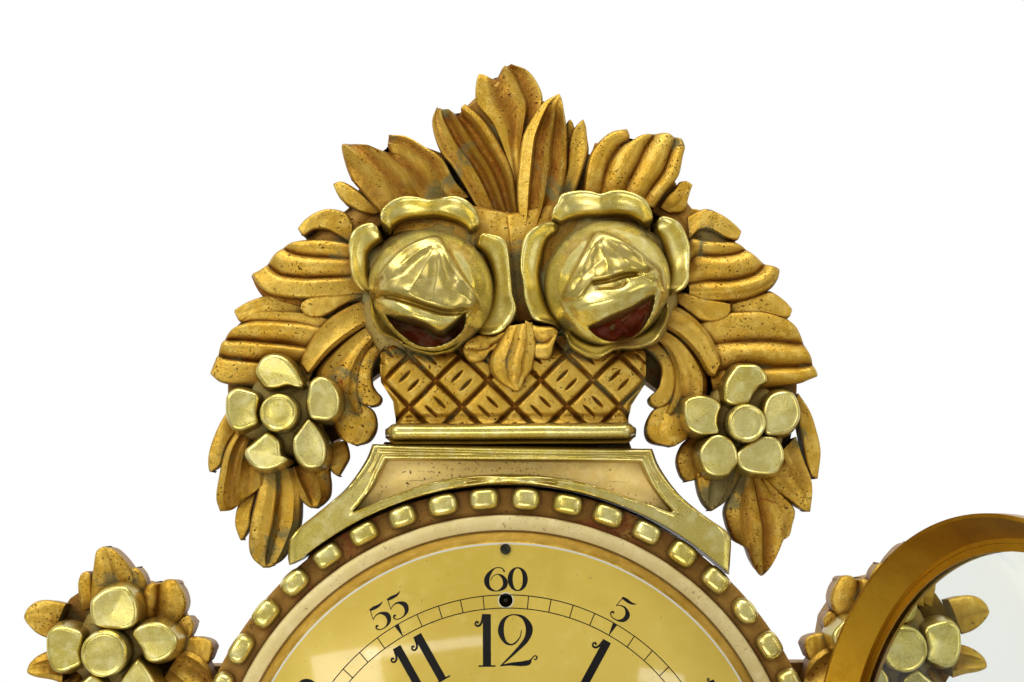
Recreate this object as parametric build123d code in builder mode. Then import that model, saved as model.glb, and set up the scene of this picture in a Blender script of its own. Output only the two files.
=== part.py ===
"""Carved giltwood wall clock with a round dial, hinged glass door, flower crest and leaf pendant."""

import math
import os

from build123d import *

# Shared frame: x to the right, z up from the dial axis, y = 0 on the wall, front towards -y.

# Round case
moulding_y = -64.0
shelf_y = -56.0
ground_y = -60.5
bracket_seat_y = -52.0
case_back_y = -30.0
drum_r = 99.0
drum_wall = 5.0
seat_step = 5.0
cone_wide = 6.8
cream_wide = 6.7
ground_wide = 10.7
ground_lip = 2.2
seat_r = drum_r + seat_step
cone_r = seat_r + cone_wide
cream_r = cone_r + cream_wide
ground_r = cream_r + ground_wide
side_r = ground_r - ground_lip
cover_thick = 4.0
running_gap = 0.05

# Pearl ring
pearl_count = 46
pearl_inset = 4.0
pearl_r = ground_r - pearl_inset
pearl_long = 12.0
pearl_wide = 9.6
pearl_corner = 2.6
pearl_base = 2.8
pearl_top = 2.8

# Dial
dial_reveal = 4.3
dial_r = cone_r - dial_reveal
dial_curve_r = 479.0
dial_apex_y = -85.0
dial_thick = 0.96
dial_ledge = 5.0
sheet_thick = 1.4
hand_hole_r = 4.5
winding_hole_r = 4.6
winding_x = 33.0
winding_z = -24.0
regulator_hole_r = 2.7
dial_screw_inset = 2.5
dial_screw_r = dial_r - dial_screw_inset
dial_screw_head_r = 2.1
dial_screw_shank_r = 0.9

# Movement
plate_r = 58.0
plate_thick = 2.0
front_plate_y = -50.0
back_plate_y = -22.0
pillar_r = 3.5
pillar_ring_r = 50.0
bracket_thick = 2.0
bracket_wide = 12.0
bracket_in = plate_r - 12.0
bracket_out = seat_r - 0.5
small_head_r = 2.4
small_head_high = 1.2
arbor_r = 1.9
arbor_tip_y = -94.0
arbor_back_y = -18.0
stud_r = 1.5
stud_x = 18.0
gear_module = 0.9
cannon_teeth = 10
minute_teeth = 30
small_teeth = 8
hour_teeth = 32
pipe_r = 3.2
pipe_tip_y = -89.8
barrel_r = 15.0
winding_r = 2.5
winding_square = 3.4
winding_tip_y = -82.0

# Pendulum, regulator, bell
hang_y = -12.0
hang_z = drum_r - 19.0
regulator_z = hang_z + 4.0
hang_pin_r = 0.9
eye_r = 3.0
rod_r = 1.2
bob_r = 16.0
bob_z = -42.0
bob_thick = 6.0
regulator_r = 0.85
cock_half = 7.0
cock_foot_z = 40.0
cock_top_z = regulator_z + 6.0
bell_r = 15.0
bell_room = 3.0
bell_z = -(drum_r - drum_wall - bell_r - bell_room)
stand_top_z = -40.0
stand_foot_z = bell_z - 4.0
hammer_x = 27.0
hammer_z = -47.0

# Hands, turned to twenty minutes past eight
minute_turn = 120.0
hour_turn = 250.0
hour_hand_y = -86.6
hour_hand_thick = 1.0
hour_lean = 4.4
minute_hand_y = -90.3
minute_hand_thick = 1.0
minute_lean = 6.6

# Glass door
bezel_r = cream_r - 0.1
hinge_reach = 3.1
hinge_x = bezel_r + hinge_reach
hinge_y = -69.0
door_angle = 112.0
bezel_wide = 10.2
glass_r = bezel_r - bezel_wide
bezel_lip = 2.6
bezel_back_y = -76.2
bezel_rebate_y = -80.0
glass_rise = 22.0
glass_thick = 1.6
glass_seat_y = -77.3
hinge_pin_r = 1.2
knuckle_r = 2.6
knuckle_half = 3.0
knuckle_end = 9.0
knuckle_gap = 0.1

# Carving
board_back = 24.0
board_front = 40.0
rose_front = 62.0
petal_front = 68.0
rosette_front = 60.0
moulding_back = 58.0
moulding_front = 66.0
basket_front = 68.0
bar_front = 70.0
centre_front = 72.0
bead_clear_r = ground_r + 1.2
drawn_ground_r = 128.2
spread = ground_r - drawn_ground_r
lobe_foot = 0.6
crown_reach = 0.86
crown_share = 0.35


def gear_points(teeth, turn):
    """Corner points of a toothed disc with straight flanks; turn is the angle of the first tooth."""
    pitch_r = teeth * gear_module / 2
    corners = []
    for tooth in range(teeth):
        middle = math.radians(turn) + tooth * math.tau / teeth
        step = math.tau / teeth
        for radius, share in ((pitch_r - 1.2 * gear_module, -0.3), (pitch_r + 0.9 * gear_module, -0.1),
                              (pitch_r + 0.9 * gear_module, 0.1), (pitch_r - 1.2 * gear_module, 0.3)):
            angle = middle + share * step
            corners.append((radius * math.cos(angle), radius * math.sin(angle)))
    return corners


def polar(radius, degrees):
    """Point at a radius and an angle from +x."""
    return (radius * math.cos(math.radians(degrees)), radius * math.sin(math.radians(degrees)))


def moved(points, x=0.0, z=0.0):
    """Points moved out with the ring that the carving was drawn round."""
    return [(point_x + x, point_z + z) for point_x, point_z in points]


def moved_rows(rows, x=0.0, z=0.0):
    """Lobe rows moved out with the ring that the carving was drawn round."""
    return [(row[0] + x, row[1] + z, row[2] + x, row[3] + z, *row[4:]) for row in rows]


def lobe_points(foot, tip, width, bend):
    """Outline of one pointed leaf lobe whose middle line bends sideways."""
    run_x, run_z = tip[0] - foot[0], tip[1] - foot[1]
    length = math.hypot(run_x, run_z)
    side_x, side_z = -run_z / length, run_x / length
    left, right = [], []
    for reach, share in ((0.0, lobe_foot), (0.35, 0.95), (0.65, 1.0), (0.88, 0.6)):
        sway = 4 * reach * (1 - reach) * bend
        middle_x = foot[0] + run_x * reach + side_x * sway
        middle_z = foot[1] + run_z * reach + side_z * sway
        half = width * share / 2
        left.append((middle_x + side_x * half, middle_z + side_z * half))
        right.append((middle_x - side_x * half, middle_z - side_z * half))
    return right + [tip] + left[::-1]


def carved(steps):
    """Solid through a row of outlines, each given as (depth, points), with flat facets between them."""
    loops = [[Vector(x, -depth, z) for x, z in points] for depth, points in steps]
    faces = [Face(Wire.make_polygon(loops[0])), Face(Wire.make_polygon(loops[-1]))]
    for low, high in zip(loops, loops[1:]):
        for spot in range(len(low)):
            after = (spot + 1) % len(low)
            quad = [low[spot], low[after], high[after], high[spot]]
            twist = (quad[1] - quad[0]).cross(quad[3] - quad[0]).dot(quad[2] - quad[0])
            for corners in ([quad] if abs(twist) < 1e-6 else [quad[:3], [quad[0], quad[2], quad[3]]]):
                faces.append(Face(Wire.make_polygon(corners)))
    return Solid(Shell(faces))


def round_points(centre, radius, count):
    """Corners of a regular outline about a centre."""
    return [(centre[0] + x, centre[1] + z) for x, z in
            (polar(radius, spot * 360 / count) for spot in range(count))]


def block_points(centre, wide, high, corner, turn):
    """Corners of a turned rectangle with its corners cut off."""
    half_x, half_z = wide / 2, high / 2
    flat = [(half_x, half_z - corner), (half_x - corner, half_z), (corner - half_x, half_z),
            (-half_x, half_z - corner), (-half_x, corner - half_z), (corner - half_x, -half_z),
            (half_x - corner, -half_z), (half_x, corner - half_z)]
    swing = math.radians(turn)
    return [(centre[0] + x * math.cos(swing) - z * math.sin(swing),
             centre[1] + x * math.sin(swing) + z * math.cos(swing)) for x, z in flat]


def lobe(row, turned=False):
    """One carved lobe standing on the front of the boards, with a sloped crown."""
    foot_x, foot_z, tip_x, tip_z, width, bend, front = row
    if turned:
        foot_x, tip_x, bend = -foot_x, -tip_x, -bend
    end_x = foot_x + (tip_x - foot_x) * crown_reach
    end_z = foot_z + (tip_z - foot_z) * crown_reach
    low = lobe_points((foot_x, foot_z), (tip_x, tip_z), width, bend)
    high = lobe_points((foot_x, foot_z), (end_x, end_z), width * crown_share, bend)
    return [carved([(board_front, low), (front - width * 0.3, low), (front, high)])]


def lobes(rows, turned=False):
    """Solids of several lobes."""
    return [solid for row in rows for solid in lobe(row, turned)]


crown_leaves = moved_rows([
    (3.1, 239.6, 2.6, 305.5, 16.2, 0, 62), (1.1, 242, -9.4, 300.4, 15.2, 2, 60),
    (8.2, 239.9, 15.8, 294.3, 15.2, -3, 60), (12.3, 272.8, 9.8, 302.4, 7.1, 0, 58),
    (0.1, 238.2, -28.7, 286.9, 15.3, -3.1, 58), (3.1, 242, -16.7, 288.2, 12.2, -4.1, 60),
    (-6, 238.4, -26.9, 265.4, 13.3, 0, 57), (10.3, 240.2, 23.2, 292.7, 16.3, 4.1, 58),
    (17.4, 244.5, 34.1, 281.2, 12.2, 4.1, 57), (21.6, 247.7, 35.3, 267.1, 11.2, 2, 56),
], z=spread)
left_leaves = moved_rows([
    (-20.3, 242.3, -47.1, 275.5, 16.3, -4.1, 58), (-28.4, 242.1, -67.3, 270.8, 18.3, -5.1, 59),
    (-34.6, 242.4, -63.7, 258.8, 13.3, -2, 57), (-48.9, 238.5, -70.9, 254.3, 12.3, 1, 56),
    (-55, 233.3, -85.3, 235.3, 16.3, -4.1, 57), (-55, 221, -95.8, 224.1, 13.3, -3.1, 57),
    (-54.9, 216.7, -104.7, 216.2, 16.3, -1, 59), (-58, 207.8, -98.9, 208.8, 10.2, 1, 57),
    (-61.2, 208.9, -85.7, 201.7, 13.3, -1, 56), (-63.1, 199.6, -110.6, 201.6, 15.3, -3.1, 57),
    (-65, 194.3, -118.4, 183.1, 19.3, -8.1, 59), (-71.2, 181.1, -121.1, 175.5, 17.3, -5.1, 58),
], z=spread)
right_leaves = moved_rows([
    (28.6, 245.3, 52.1, 277.4, 16.3, 4.1, 58), (40.8, 245.2, 75.4, 272.6, 19.3, 6.1, 59),
    (49.1, 244.5, 73.6, 260.8, 14.3, 2, 57), (59.4, 242.6, 78.8, 254.3, 11.2, 1, 56),
    (67.4, 233.3, 99.1, 233.3, 18.4, 4.1, 57), (67.4, 224.1, 106.2, 225.1, 13.3, 3.1, 57),
    (67.2, 215.7, 114.6, 217.7, 17.3, -2, 59), (71.5, 207.8, 110.8, 210.8, 11.2, -4.1, 57),
    (73.7, 204.8, 88, 201.7, 13.3, 0, 56), (75.6, 200.6, 120, 201.6, 15.3, 4.1, 57),
    (79.6, 193.4, 124.4, 188.3, 17.3, 5.1, 58), (85.6, 184.1, 128.8, 175, 19.3, 6.1, 59),
    (89.9, 177.1, 121.5, 172, 9.2, 0, 57),
], z=spread)
left_bands = moved_rows([
    (-54.8, 205.4, -83.2, 181, 11.2, -2, 60), (-49.7, 199.3, -72.1, 163.7, 12.2, -4.1, 60),
    (-45.8, 190.3, -60, 150.6, 11.2, -5.1, 58), (-65.2, 177.1, -59.1, 147.1, 17.3, 2, 57),
], z=spread)
right_bands = moved_rows([
    (62.1, 206.4, 89.5, 176.9, 11.2, 3, 60), (57, 198.3, 82.4, 162.7, 12.2, 4.1, 60),
    (53.1, 190.3, 65.3, 150.6, 11.2, 5.1, 58), (73.6, 175.1, 64.4, 146, 17.3, -2, 57),
], z=spread)
left_drops = moved_rows([
    (-103.2, 160.9, -121.6, 135.4, 15.3, -6.1, 55), (-102.2, 150.7, -117, 119.5, 17.4, -4.1, 55),
    (-99.2, 146.7, -108.4, 107.7, 12.3, -2, 54), (-92.7, 142.5, -97.3, 96.6, 21.4, 0, 57),
    (-86.8, 146.6, -78.1, 120.5, 16.4, 2, 55), (-78.7, 150.8, -68.5, 133.3, 13.3, 3.1, 54),
], z=spread)
right_drops = moved_rows([
    (107.5, 160.9, 129, 131.3, 15.3, 6.1, 55), (107.5, 152.8, 124.4, 118, 18.4, 4.1, 55),
    (105.6, 142.6, 115.9, 106.7, 12.3, 1, 54), (99.1, 140.4, 105.2, 92, 19.9, 0, 57),
    (94.2, 146.6, 85, 119, 16.4, -2, 55), (87.2, 150.8, 72.8, 130.8, 14.3, -4.1, 54),
], z=spread)
side_leaves = moved_rows([
    (-161.3, 64.9, -163.8, 105.2, 15.3, 0, 56), (-155.6, 66.8, -149.4, 95.4, 11.3, 0, 54),
    (-166.8, 66.8, -174, 94.4, 11.3, 0, 54), (-155.4, 64.8, -134.9, 91.9, 14.3, 2, 55),
    (-153.3, 62.7, -127.7, 74, 14.3, 2, 55), (-153.1, 58.7, -119.4, 63.8, 17.4, 0, 56),
    (-169.7, 64.8, -195.8, 78.1, 14.3, -2, 55), (-167, 68.7, -180.4, 87.2, 12.3, -1, 53),
    (-169.7, 58.7, -194.2, 54.6, 14.3, 2, 55), (-163.3, 58.7, -164.4, 17.9, 18.4, 0, 56),
    (-156.6, 56.5, -142.2, 19.7, 14.3, 0, 54), (-169.9, 56.5, -185.3, 27.8, 14.3, 2, 54),
], x=-spread)

pediment_outline = moved([
    (-53.5, 146.3), (59.7, 143.8), (62.7, 136.2), (69.8, 126.1), (78.9, 118.0), (89.0, 110.9), (91.0, 106.9),
    (90.0, 92.7), (80.9, 100.8), (65.8, 109.9), (50.6, 118.0), (30.4, 124.6), (15.2, 127.1), (0.1, 127.6),
    (-15.1, 127.1), (-30.3, 125.1), (-50.5, 118.0), (-65.6, 109.9), (-78.8, 101.8), (-86.9, 97.8),
    (-86.9, 107.9), (-82.8, 112.9), (-72.7, 121.0), (-63.6, 129.1), (-56.5, 139.2),
], z=spread)
pediment_panel = moved([
    (-47.5, 139.7), (54.6, 138.2), (59.7, 128.1), (66.8, 119.0), (50.6, 124.1), (30.4, 130.6), (15.2, 133.2),
    (0.1, 133.8), (-15.1, 133.2), (-30.3, 130.6), (-45.4, 125.6), (-60.6, 119.5), (-53.5, 128.1),
], z=spread)
board_gap_centre = (3.2, -1.0)
board_gap_r = ground_r + 0.4
pediment_back = moved([
    (-50, 148), (52, 148), (56, 136), (64, 124), (84, 100), (60, 90), (-60, 90), (-82, 100), (-66, 120),
], z=spread)
crest_outline = moved([
    (-41.8, 148), (-43.9, 173.7), (-52.3, 176.8), (-60.7, 170.5), (-62.8, 152.6), (-71.2, 148.4),
    (-77.5, 136.9), (-90.1, 128.5), (-100.6, 128.5), (-111.2, 141.1), (-115.4, 160.0), (-115.4, 181.0),
    (-107.0, 199.9), (-96.4, 216.8), (-81.7, 233.0), (-60.7, 250.4), (-41.8, 264.0), (-25.0, 268.0),
    (-14.5, 279.8), (0.3, 294.0), (12.9, 286.0), (25.5, 272.0), (46.5, 267.0), (69.6, 259.0), (86.4, 236.0),
    (103.3, 220.0), (115.9, 199.9), (123.2, 181.0), (122.2, 160.0), (118.0, 141.1), (107.5, 126.4),
    (97.0, 126.4), (84.3, 134.8), (78.0, 148.4), (67.5, 151.6), (65.4, 168.4), (57.0, 174.7), (48.6, 172.6),
    (47.6, 148),
], z=spread)
basket_outline = moved([
    (-44.5, 156.5), (50.7, 156.5), (51.8, 161.6), (57.8, 170.7), (57.8, 180), (-50.6, 180), (-50.6, 171.7),
    (-45.5, 163.6),
], z=spread)
bar_left = -48.6
bar_right = 49.7
bar_low = 148.4 + spread
bar_high = bar_low + 6.1
centre_leaf_outline = moved([
    (4.0, 167.6), (9, 172), (13, 181), (19.5, 184), (15, 190), (8, 193), (4, 196), (0, 193), (-8, 189),
    (-14, 183.2), (-6, 181), (-1, 173),
], z=spread)
left_rose, right_rose = moved([(-30.3, 207.9), (42.5, 211.0)], z=spread)
rose_r, rose_core_r = 25.0, 23.0
petal_root_r = 21.0
petal_slope = 1.5
left_petals = [(52, 127, 38.0), (133, 188, 37.5), (-42, 50, 36.0), (190, 246, 29.0), (250, 304, 28.0)]
right_petals = [(56, 129, 38.5), (-12, 54, 35.0), (132, 220, 35.5), (226, 338, 31.0)]
left_rosette = moved([
    (-90.7, 158.8), (-90.7, 176.5), (-72.5, 165.4), (-79.6, 145.2), (-96.7, 143.2), (-105.8, 160.3),
], z=spread)
right_rosette = moved([
    (97.3, 153.8), (97.8, 170.4), (112.4, 158.3), (104.4, 139.2), (86.7, 140.2), (79.7, 157.3),
], z=spread)
side_rosette = moved([
    (-159.2, 63.6), (-156.2, 81.7), (-140.1, 67.6), (-144.1, 51.5), (-171.3, 54.5), (-175.4, 71.6),
], x=-spread)
rosette_core_r, petal_r, button_r = 14.0, 8.2, 7.3
petal_high, button_high = 8.0, 12.0
side_board_r = 29.0
festoon_angles = (200, 213, 226, 239, 252)
festoon_foot_r = ground_r + 5.8
festoon_tip_r = ground_r + 29.8
festoon_board_r = ground_r + 17.8
festoon_board_z = 56.0
pendant_outline = moved([
    (-40, -118), (40, -118), (62, -140), (40, -160), (34, -190), (24, -222), (12, -270), (5, -312),
    (-5, -312), (-12, -270), (-24, -222), (-34, -190), (-40, -160), (-62, -140),
], z=-spread)
pendant_leaves = moved_rows([
    (22, -150, 80, -140, 17, -4, 57), (24, -162, 78, -172, 17, 2, 57), (20, -178, 62, -214, 19, 5, 58),
    (14, -192, 42, -246, 18, 5, 58), (7, -205, 22, -280, 15, 3, 59),
], z=-spread)
pendant_tip = moved_rows([(0, -200, 0, -306, 15, 0, 60)], z=-spread)[0]
festoon_leaves = [
    (*polar(festoon_foot_r, angle - 4), *polar(festoon_tip_r, angle + 13), 16.0, 3.0, 57.0)
    for angle in festoon_angles
] + [
    (*polar(festoon_foot_r - 2.5, angle - 9), *polar(festoon_foot_r + 4, angle + 8), 8.0, 0.0, 55.0)
    for angle in festoon_angles
]
pendant_rosette = (0.0, -172.0 - spread)
pendant_core_r = 22.0
finial_z = -318.0 - spread

with BuildPart() as case_ring:
    with BuildSketch(Plane.XY):
        with BuildLine():
            Polyline((drum_r, case_back_y), (drum_r, bracket_seat_y), (seat_r, bracket_seat_y),
                     (seat_r, shelf_y), (cream_r, shelf_y), (cream_r, ground_y), (ground_r, ground_y),
                     (ground_r, shelf_y), (side_r, shelf_y), (side_r, case_back_y), close=True)
        make_face()
    revolve(axis=Axis.Y)

with BuildPart() as cream_ring:
    with BuildSketch(Plane.XY):
        with BuildLine():
            Polyline((cone_r, shelf_y), (cone_r, moulding_y), (cream_r, moulding_y), (cream_r, shelf_y),
                     close=True)
        make_face()
    revolve(axis=Axis.Y)


def pearl(angle):
    """One pearl on the ring's ground, with sloped sides."""
    centre = polar(pearl_r, angle)
    foot = block_points(centre, pearl_wide, pearl_long, pearl_corner, angle)
    top = block_points(centre, pearl_wide - 4, pearl_long - 4, pearl_corner - 1, angle)
    shoulder = -ground_y + pearl_base
    return carved([(-ground_y, foot), (shoulder, foot), (shoulder + pearl_top, top)])


with BuildPart() as pearl_beads:
    add([pearl(spot * 360 / pearl_count) for spot in range(1, pearl_count)])


def dome_y(radius):
    """Depth of the dial's front at a radius."""
    return dial_apex_y + radius * radius / (2 * dial_curve_r)


dial_seat_y = dome_y(dial_r) + dial_thick
ledge_back_y = dial_seat_y + sheet_thick
screw_seat_y = dome_y(dial_screw_r - dial_screw_head_r)
with BuildPart() as dial_surround:
    with BuildSketch(Plane.XY):
        with BuildLine():
            Polyline((seat_r, shelf_y), (cone_r, shelf_y), (cone_r, moulding_y), (dial_r, dial_seat_y),
                     (dial_r - dial_ledge, dial_seat_y), (dial_r - dial_ledge, ledge_back_y),
                     (dial_r - 1.9, ledge_back_y), (cone_r - 1.8, moulding_y + 2),
                     (cone_r - 1.8, shelf_y - 2), (seat_r, shelf_y - 2), close=True)
        make_face()
    revolve(axis=Axis.Y)
    with BuildSketch(Plane.XZ.offset(-ledge_back_y)):
        with PolarLocations(dial_screw_r, 3, start_angle=90):
            Circle(dial_screw_shank_r)
    extrude(amount=sheet_thick, mode=Mode.SUBTRACT)

with BuildPart() as case_drum:
    with BuildSketch(Plane.XZ.offset(cover_thick)):
        Circle(drum_r)
        Circle(drum_r - drum_wall, mode=Mode.SUBTRACT)
    extrude(amount=-bracket_seat_y - cover_thick)
    with BuildSketch(Plane.XZ.offset(cover_thick)):
        with PolarLocations(drum_r - drum_wall / 2, 4, start_angle=45):
            Circle(small_head_r / 2)
    extrude(amount=6, mode=Mode.SUBTRACT)

keyhole_z = drum_r - 25.0
keyhole_r = 4.5
keyhole_slot = 2.4
keyhole_run = 8.0
hanger_wide = 40.0
hanger_high = 26.0
hanger_thick = 2.0
with BuildPart() as back_cover:
    with BuildSketch(Plane.XZ):
        Circle(drum_r)
    extrude(amount=cover_thick)
    with BuildSketch(Plane.XZ):
        with Locations((0, keyhole_z + 2)):
            Rectangle(hanger_wide, hanger_high)
    extrude(amount=hanger_thick, mode=Mode.SUBTRACT)
    with BuildSketch(Plane.XZ):
        with Locations((0, keyhole_z + 4)):
            Rectangle(14, 20)
    extrude(amount=cover_thick, mode=Mode.SUBTRACT)
    with BuildSketch(Plane.XZ):
        with PolarLocations(drum_r - drum_wall / 2, 4, start_angle=45):
            Circle(small_head_r)
    extrude(amount=small_head_high, mode=Mode.SUBTRACT)
    with BuildSketch(Plane.XZ):
        with PolarLocations(drum_r - drum_wall / 2, 4, start_angle=45):
            Circle(small_head_r / 2)
    extrude(amount=cover_thick, mode=Mode.SUBTRACT)

with BuildPart() as cover_screws:
    with BuildSketch(Plane.XZ):
        with PolarLocations(drum_r - drum_wall / 2, 4, start_angle=45):
            Circle(small_head_r)
    extrude(amount=small_head_high)
    with BuildSketch(Plane.XZ):
        with PolarLocations(drum_r - drum_wall / 2, 4, start_angle=45):
            Circle(small_head_r / 2)
    extrude(amount=cover_thick + 6)

with BuildPart() as hanger_plate:
    with BuildSketch(Plane.XZ):
        with Locations((0, keyhole_z + 2)):
            Rectangle(hanger_wide, hanger_high)
        with Locations((0, keyhole_z)):
            Circle(keyhole_r, mode=Mode.SUBTRACT)
        with Locations((0, keyhole_z + keyhole_run / 2)):
            Rectangle(2 * keyhole_slot, keyhole_run, mode=Mode.SUBTRACT)
        with Locations((0, keyhole_z + keyhole_run)):
            Circle(keyhole_slot, mode=Mode.SUBTRACT)
    extrude(amount=hanger_thick)

pillar_points = [polar(pillar_ring_r, angle) for angle in (20, 160, 250, 290)]
bracket_angles = (45, 135, 225, 315)
with BuildPart() as movement_plates:
    for plate_y in (back_plate_y, front_plate_y):
        with BuildSketch(Plane.XZ.offset(-plate_y - (plate_thick if plate_y == back_plate_y else 0))):
            Circle(plate_r)
            Circle(arbor_r + running_gap, mode=Mode.SUBTRACT)
            with Locations((-winding_x, winding_z), (winding_x, winding_z)):
                Circle(winding_r + running_gap, mode=Mode.SUBTRACT)
            with Locations((hammer_x, hammer_z)):
                Circle(1 + running_gap, mode=Mode.SUBTRACT)
        extrude(amount=plate_thick)
    with BuildSketch(Plane.XZ.offset(-front_plate_y + plate_thick)):
        with Locations((stud_x, 0)):
            Circle(stud_r)
    extrude(amount=15)

with BuildPart() as movement_pillars:
    with BuildSketch(Plane.XZ.offset(-back_plate_y)):
        with Locations(*pillar_points):
            Circle(pillar_r)
    extrude(amount=back_plate_y - front_plate_y)

with BuildPart() as movement_brackets:
    with BuildSketch(Plane.XZ.offset(-bracket_seat_y)):
        for angle in bracket_angles:
            with Locations(Location((*polar((bracket_in + bracket_out) / 2, angle), 0), (0, 0, angle))):
                Rectangle(bracket_out - bracket_in, bracket_wide)
    extrude(amount=bracket_thick)

with BuildPart() as bracket_screws:
    with BuildSketch(Plane.XZ.offset(-bracket_seat_y + bracket_thick)):
        for angle in bracket_angles:
            with Locations(polar(bracket_in + 5, angle), polar(bracket_out - 3.5, angle)):
                Circle(small_head_r)
    extrude(amount=small_head_high)

with BuildPart() as cannon_pinion:
    with BuildSketch(Plane.XZ.offset(-arbor_back_y)):
        Circle(arbor_r)
    extrude(amount=arbor_back_y - arbor_tip_y)
    with BuildSketch(Plane.XZ.offset(59.4)):
        with BuildLine():
            Polyline(*gear_points(cannon_teeth, 0), close=True)
        make_face()
    extrude(amount=3)

with BuildPart() as minute_wheel:
    with BuildSketch(Plane.XZ.offset(60)):
        with BuildLine():
            Polyline(*moved(gear_points(minute_teeth, 180 + 180 / minute_teeth), x=stud_x), close=True)
        make_face()
        with Locations((stud_x, 0)):
            Circle(stud_r + running_gap, mode=Mode.SUBTRACT)
    extrude(amount=2)
    with BuildSketch(Plane.XZ.offset(62)):
        with BuildLine():
            Polyline(*moved(gear_points(small_teeth, 180), x=stud_x), close=True)
        make_face()
        with Locations((stud_x, 0)):
            Circle(stud_r + running_gap, mode=Mode.SUBTRACT)
    extrude(amount=4)

with BuildPart() as hour_wheel:
    with BuildSketch(Plane.XZ.offset(63.5)):
        with BuildLine():
            Polyline(*gear_points(hour_teeth, 180 / hour_teeth), close=True)
        make_face()
        Circle(arbor_r + running_gap, mode=Mode.SUBTRACT)
    extrude(amount=2)
    with BuildSketch(Plane.XZ.offset(65.5)):
        Circle(pipe_r)
        Circle(arbor_r + running_gap, mode=Mode.SUBTRACT)
    extrude(amount=-pipe_tip_y - 65.5)

with BuildPart() as going_barrel:
    with BuildSketch(Plane.XZ.offset(26)):
        with Locations((winding_x, winding_z)):
            Circle(barrel_r)
    extrude(amount=20)
    with BuildSketch(Plane.XZ.offset(-arbor_back_y)):
        with Locations((winding_x, winding_z)):
            Circle(winding_r)
    extrude(amount=70 + arbor_back_y)
    with BuildSketch(Plane.XZ.offset(70)):
        with Locations((winding_x, winding_z)):
            Rectangle(winding_square, winding_square)
    extrude(amount=-winding_tip_y - 70)

with BuildPart() as strike_barrel:
    add(mirror(going_barrel.part, about=Plane.YZ))

with BuildPart() as suspension_cock:
    with BuildSketch(Plane.XZ.offset(17)):
        with Locations((0, (cock_foot_z + cock_top_z) / 2)):
            Rectangle(2 * cock_half, cock_top_z - cock_foot_z)
        with Locations((0, regulator_z)):
            Circle(regulator_r + running_gap, mode=Mode.SUBTRACT)
    extrude(amount=3)
    with BuildSketch(Plane.XZ.offset(9)):
        with Locations((0, hang_z)):
            Circle(hang_pin_r)
    extrude(amount=8)

with BuildPart() as regulator_arbor:
    with BuildSketch(Plane.XZ.offset(15)):
        with Locations((0, regulator_z)):
            Circle(regulator_r)
    extrude(amount=62)

with BuildPart() as pendulum_rod:
    with BuildSketch(Plane.XZ.offset(11)):
        with Locations((0, hang_z)):
            Circle(eye_r)
            Circle(hang_pin_r + running_gap, mode=Mode.SUBTRACT)
    extrude(amount=2)
    with BuildSketch(Plane.XY.offset(bob_z + bob_r)):
        with Locations((0, hang_y)):
            Rectangle(2 * rod_r, 2 * rod_r)
    extrude(amount=hang_z - eye_r + 0.4 - bob_z - bob_r)

with BuildPart() as pendulum_bob:
    with BuildSketch(Plane.XZ.offset(-hang_y - bob_thick / 2)):
        with Locations((0, bob_z)):
            Circle(bob_r)
    extrude(amount=bob_thick)
    chamfer(pendulum_bob.edges().filter_by(GeomType.CIRCLE), length=2)

with BuildPart() as bell:
    with BuildSketch(Plane.XY):
        with BuildLine():
            Polyline((0, -26.0), (9, -27.6), (bell_r, -40), (bell_r - 1.2, -40), (8.4, -28.8), (0, -27.2),
                     close=True)
        make_face()
    revolve(axis=Axis.Y)
bell_part = Location((0, 0, bell_z)) * bell.part

with BuildPart() as bell_stand:
    with BuildSketch(Plane.XZ.offset(18)):
        with Locations((0, (stand_top_z + stand_foot_z) / 2)):
            Rectangle(8, stand_top_z - stand_foot_z)
    extrude(amount=2)
    with BuildSketch(Plane.XZ.offset(20)):
        with Locations((0, bell_z)):
            Circle(2)
    extrude(amount=6)

with BuildPart() as strike_hammer:
    with BuildSketch(Plane.XZ.offset(20.5)):
        with Locations((hammer_x, hammer_z)):
            Circle(1)
    extrude(amount=31)
    with BuildSketch(Plane.XZ.offset(34)):
        with BuildLine():
            Polyline((hammer_x - 2, hammer_z), (hammer_x + 2, hammer_z), (hammer_x - 4, bell_z - 2),
                     (hammer_x - 8.5, bell_z - 2), close=True)
        make_face()
    extrude(amount=3)
    with BuildSketch(Plane.YZ.offset(16)):
        with Locations((-35.5, bell_z)):
            Circle(2.6)
    extrude(amount=9)

with BuildPart() as dial_plate:
    with BuildSketch(Plane.XY):
        with BuildLine():
            front = [(radius, dome_y(radius)) for radius in (hand_hole_r, 35, 65, 88, dial_r)]
            back = [(radius, dome_y(radius) + dial_thick) for radius in (dial_r, 58, hand_hole_r)]
            Polyline(*front, *back, close=True)
        make_face()
    revolve(axis=Axis.Y)
    with BuildSketch(Plane.XZ.offset(70)):
        with Locations((-winding_x, winding_z), (winding_x, winding_z)):
            Circle(winding_hole_r)
        with Locations((0, regulator_z)):
            Circle(regulator_hole_r)
        with PolarLocations(dial_screw_r, 3, start_angle=90):
            Circle(dial_screw_shank_r)
    extrude(amount=20, mode=Mode.SUBTRACT)

with BuildPart() as dial_screws:
    with BuildSketch(Plane.XZ.offset(-screw_seat_y)):
        with PolarLocations(dial_screw_r, 3, start_angle=90):
            Circle(dial_screw_head_r)
    extrude(amount=0.9)
    with BuildSketch(Plane.XZ.offset(-ledge_back_y)):
        with PolarLocations(dial_screw_r, 3, start_angle=90):
            Circle(dial_screw_shank_r)
    extrude(amount=ledge_back_y - screw_seat_y)


def leaning(depth, lean):
    """Plane of a hand's blade, which falls back along the dome as it runs out from the hub."""
    turn = math.radians(lean)
    return Plane(origin=(0, depth, 0), x_dir=(1, 0, 0), z_dir=(0, -math.cos(turn), math.sin(turn)))


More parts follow.
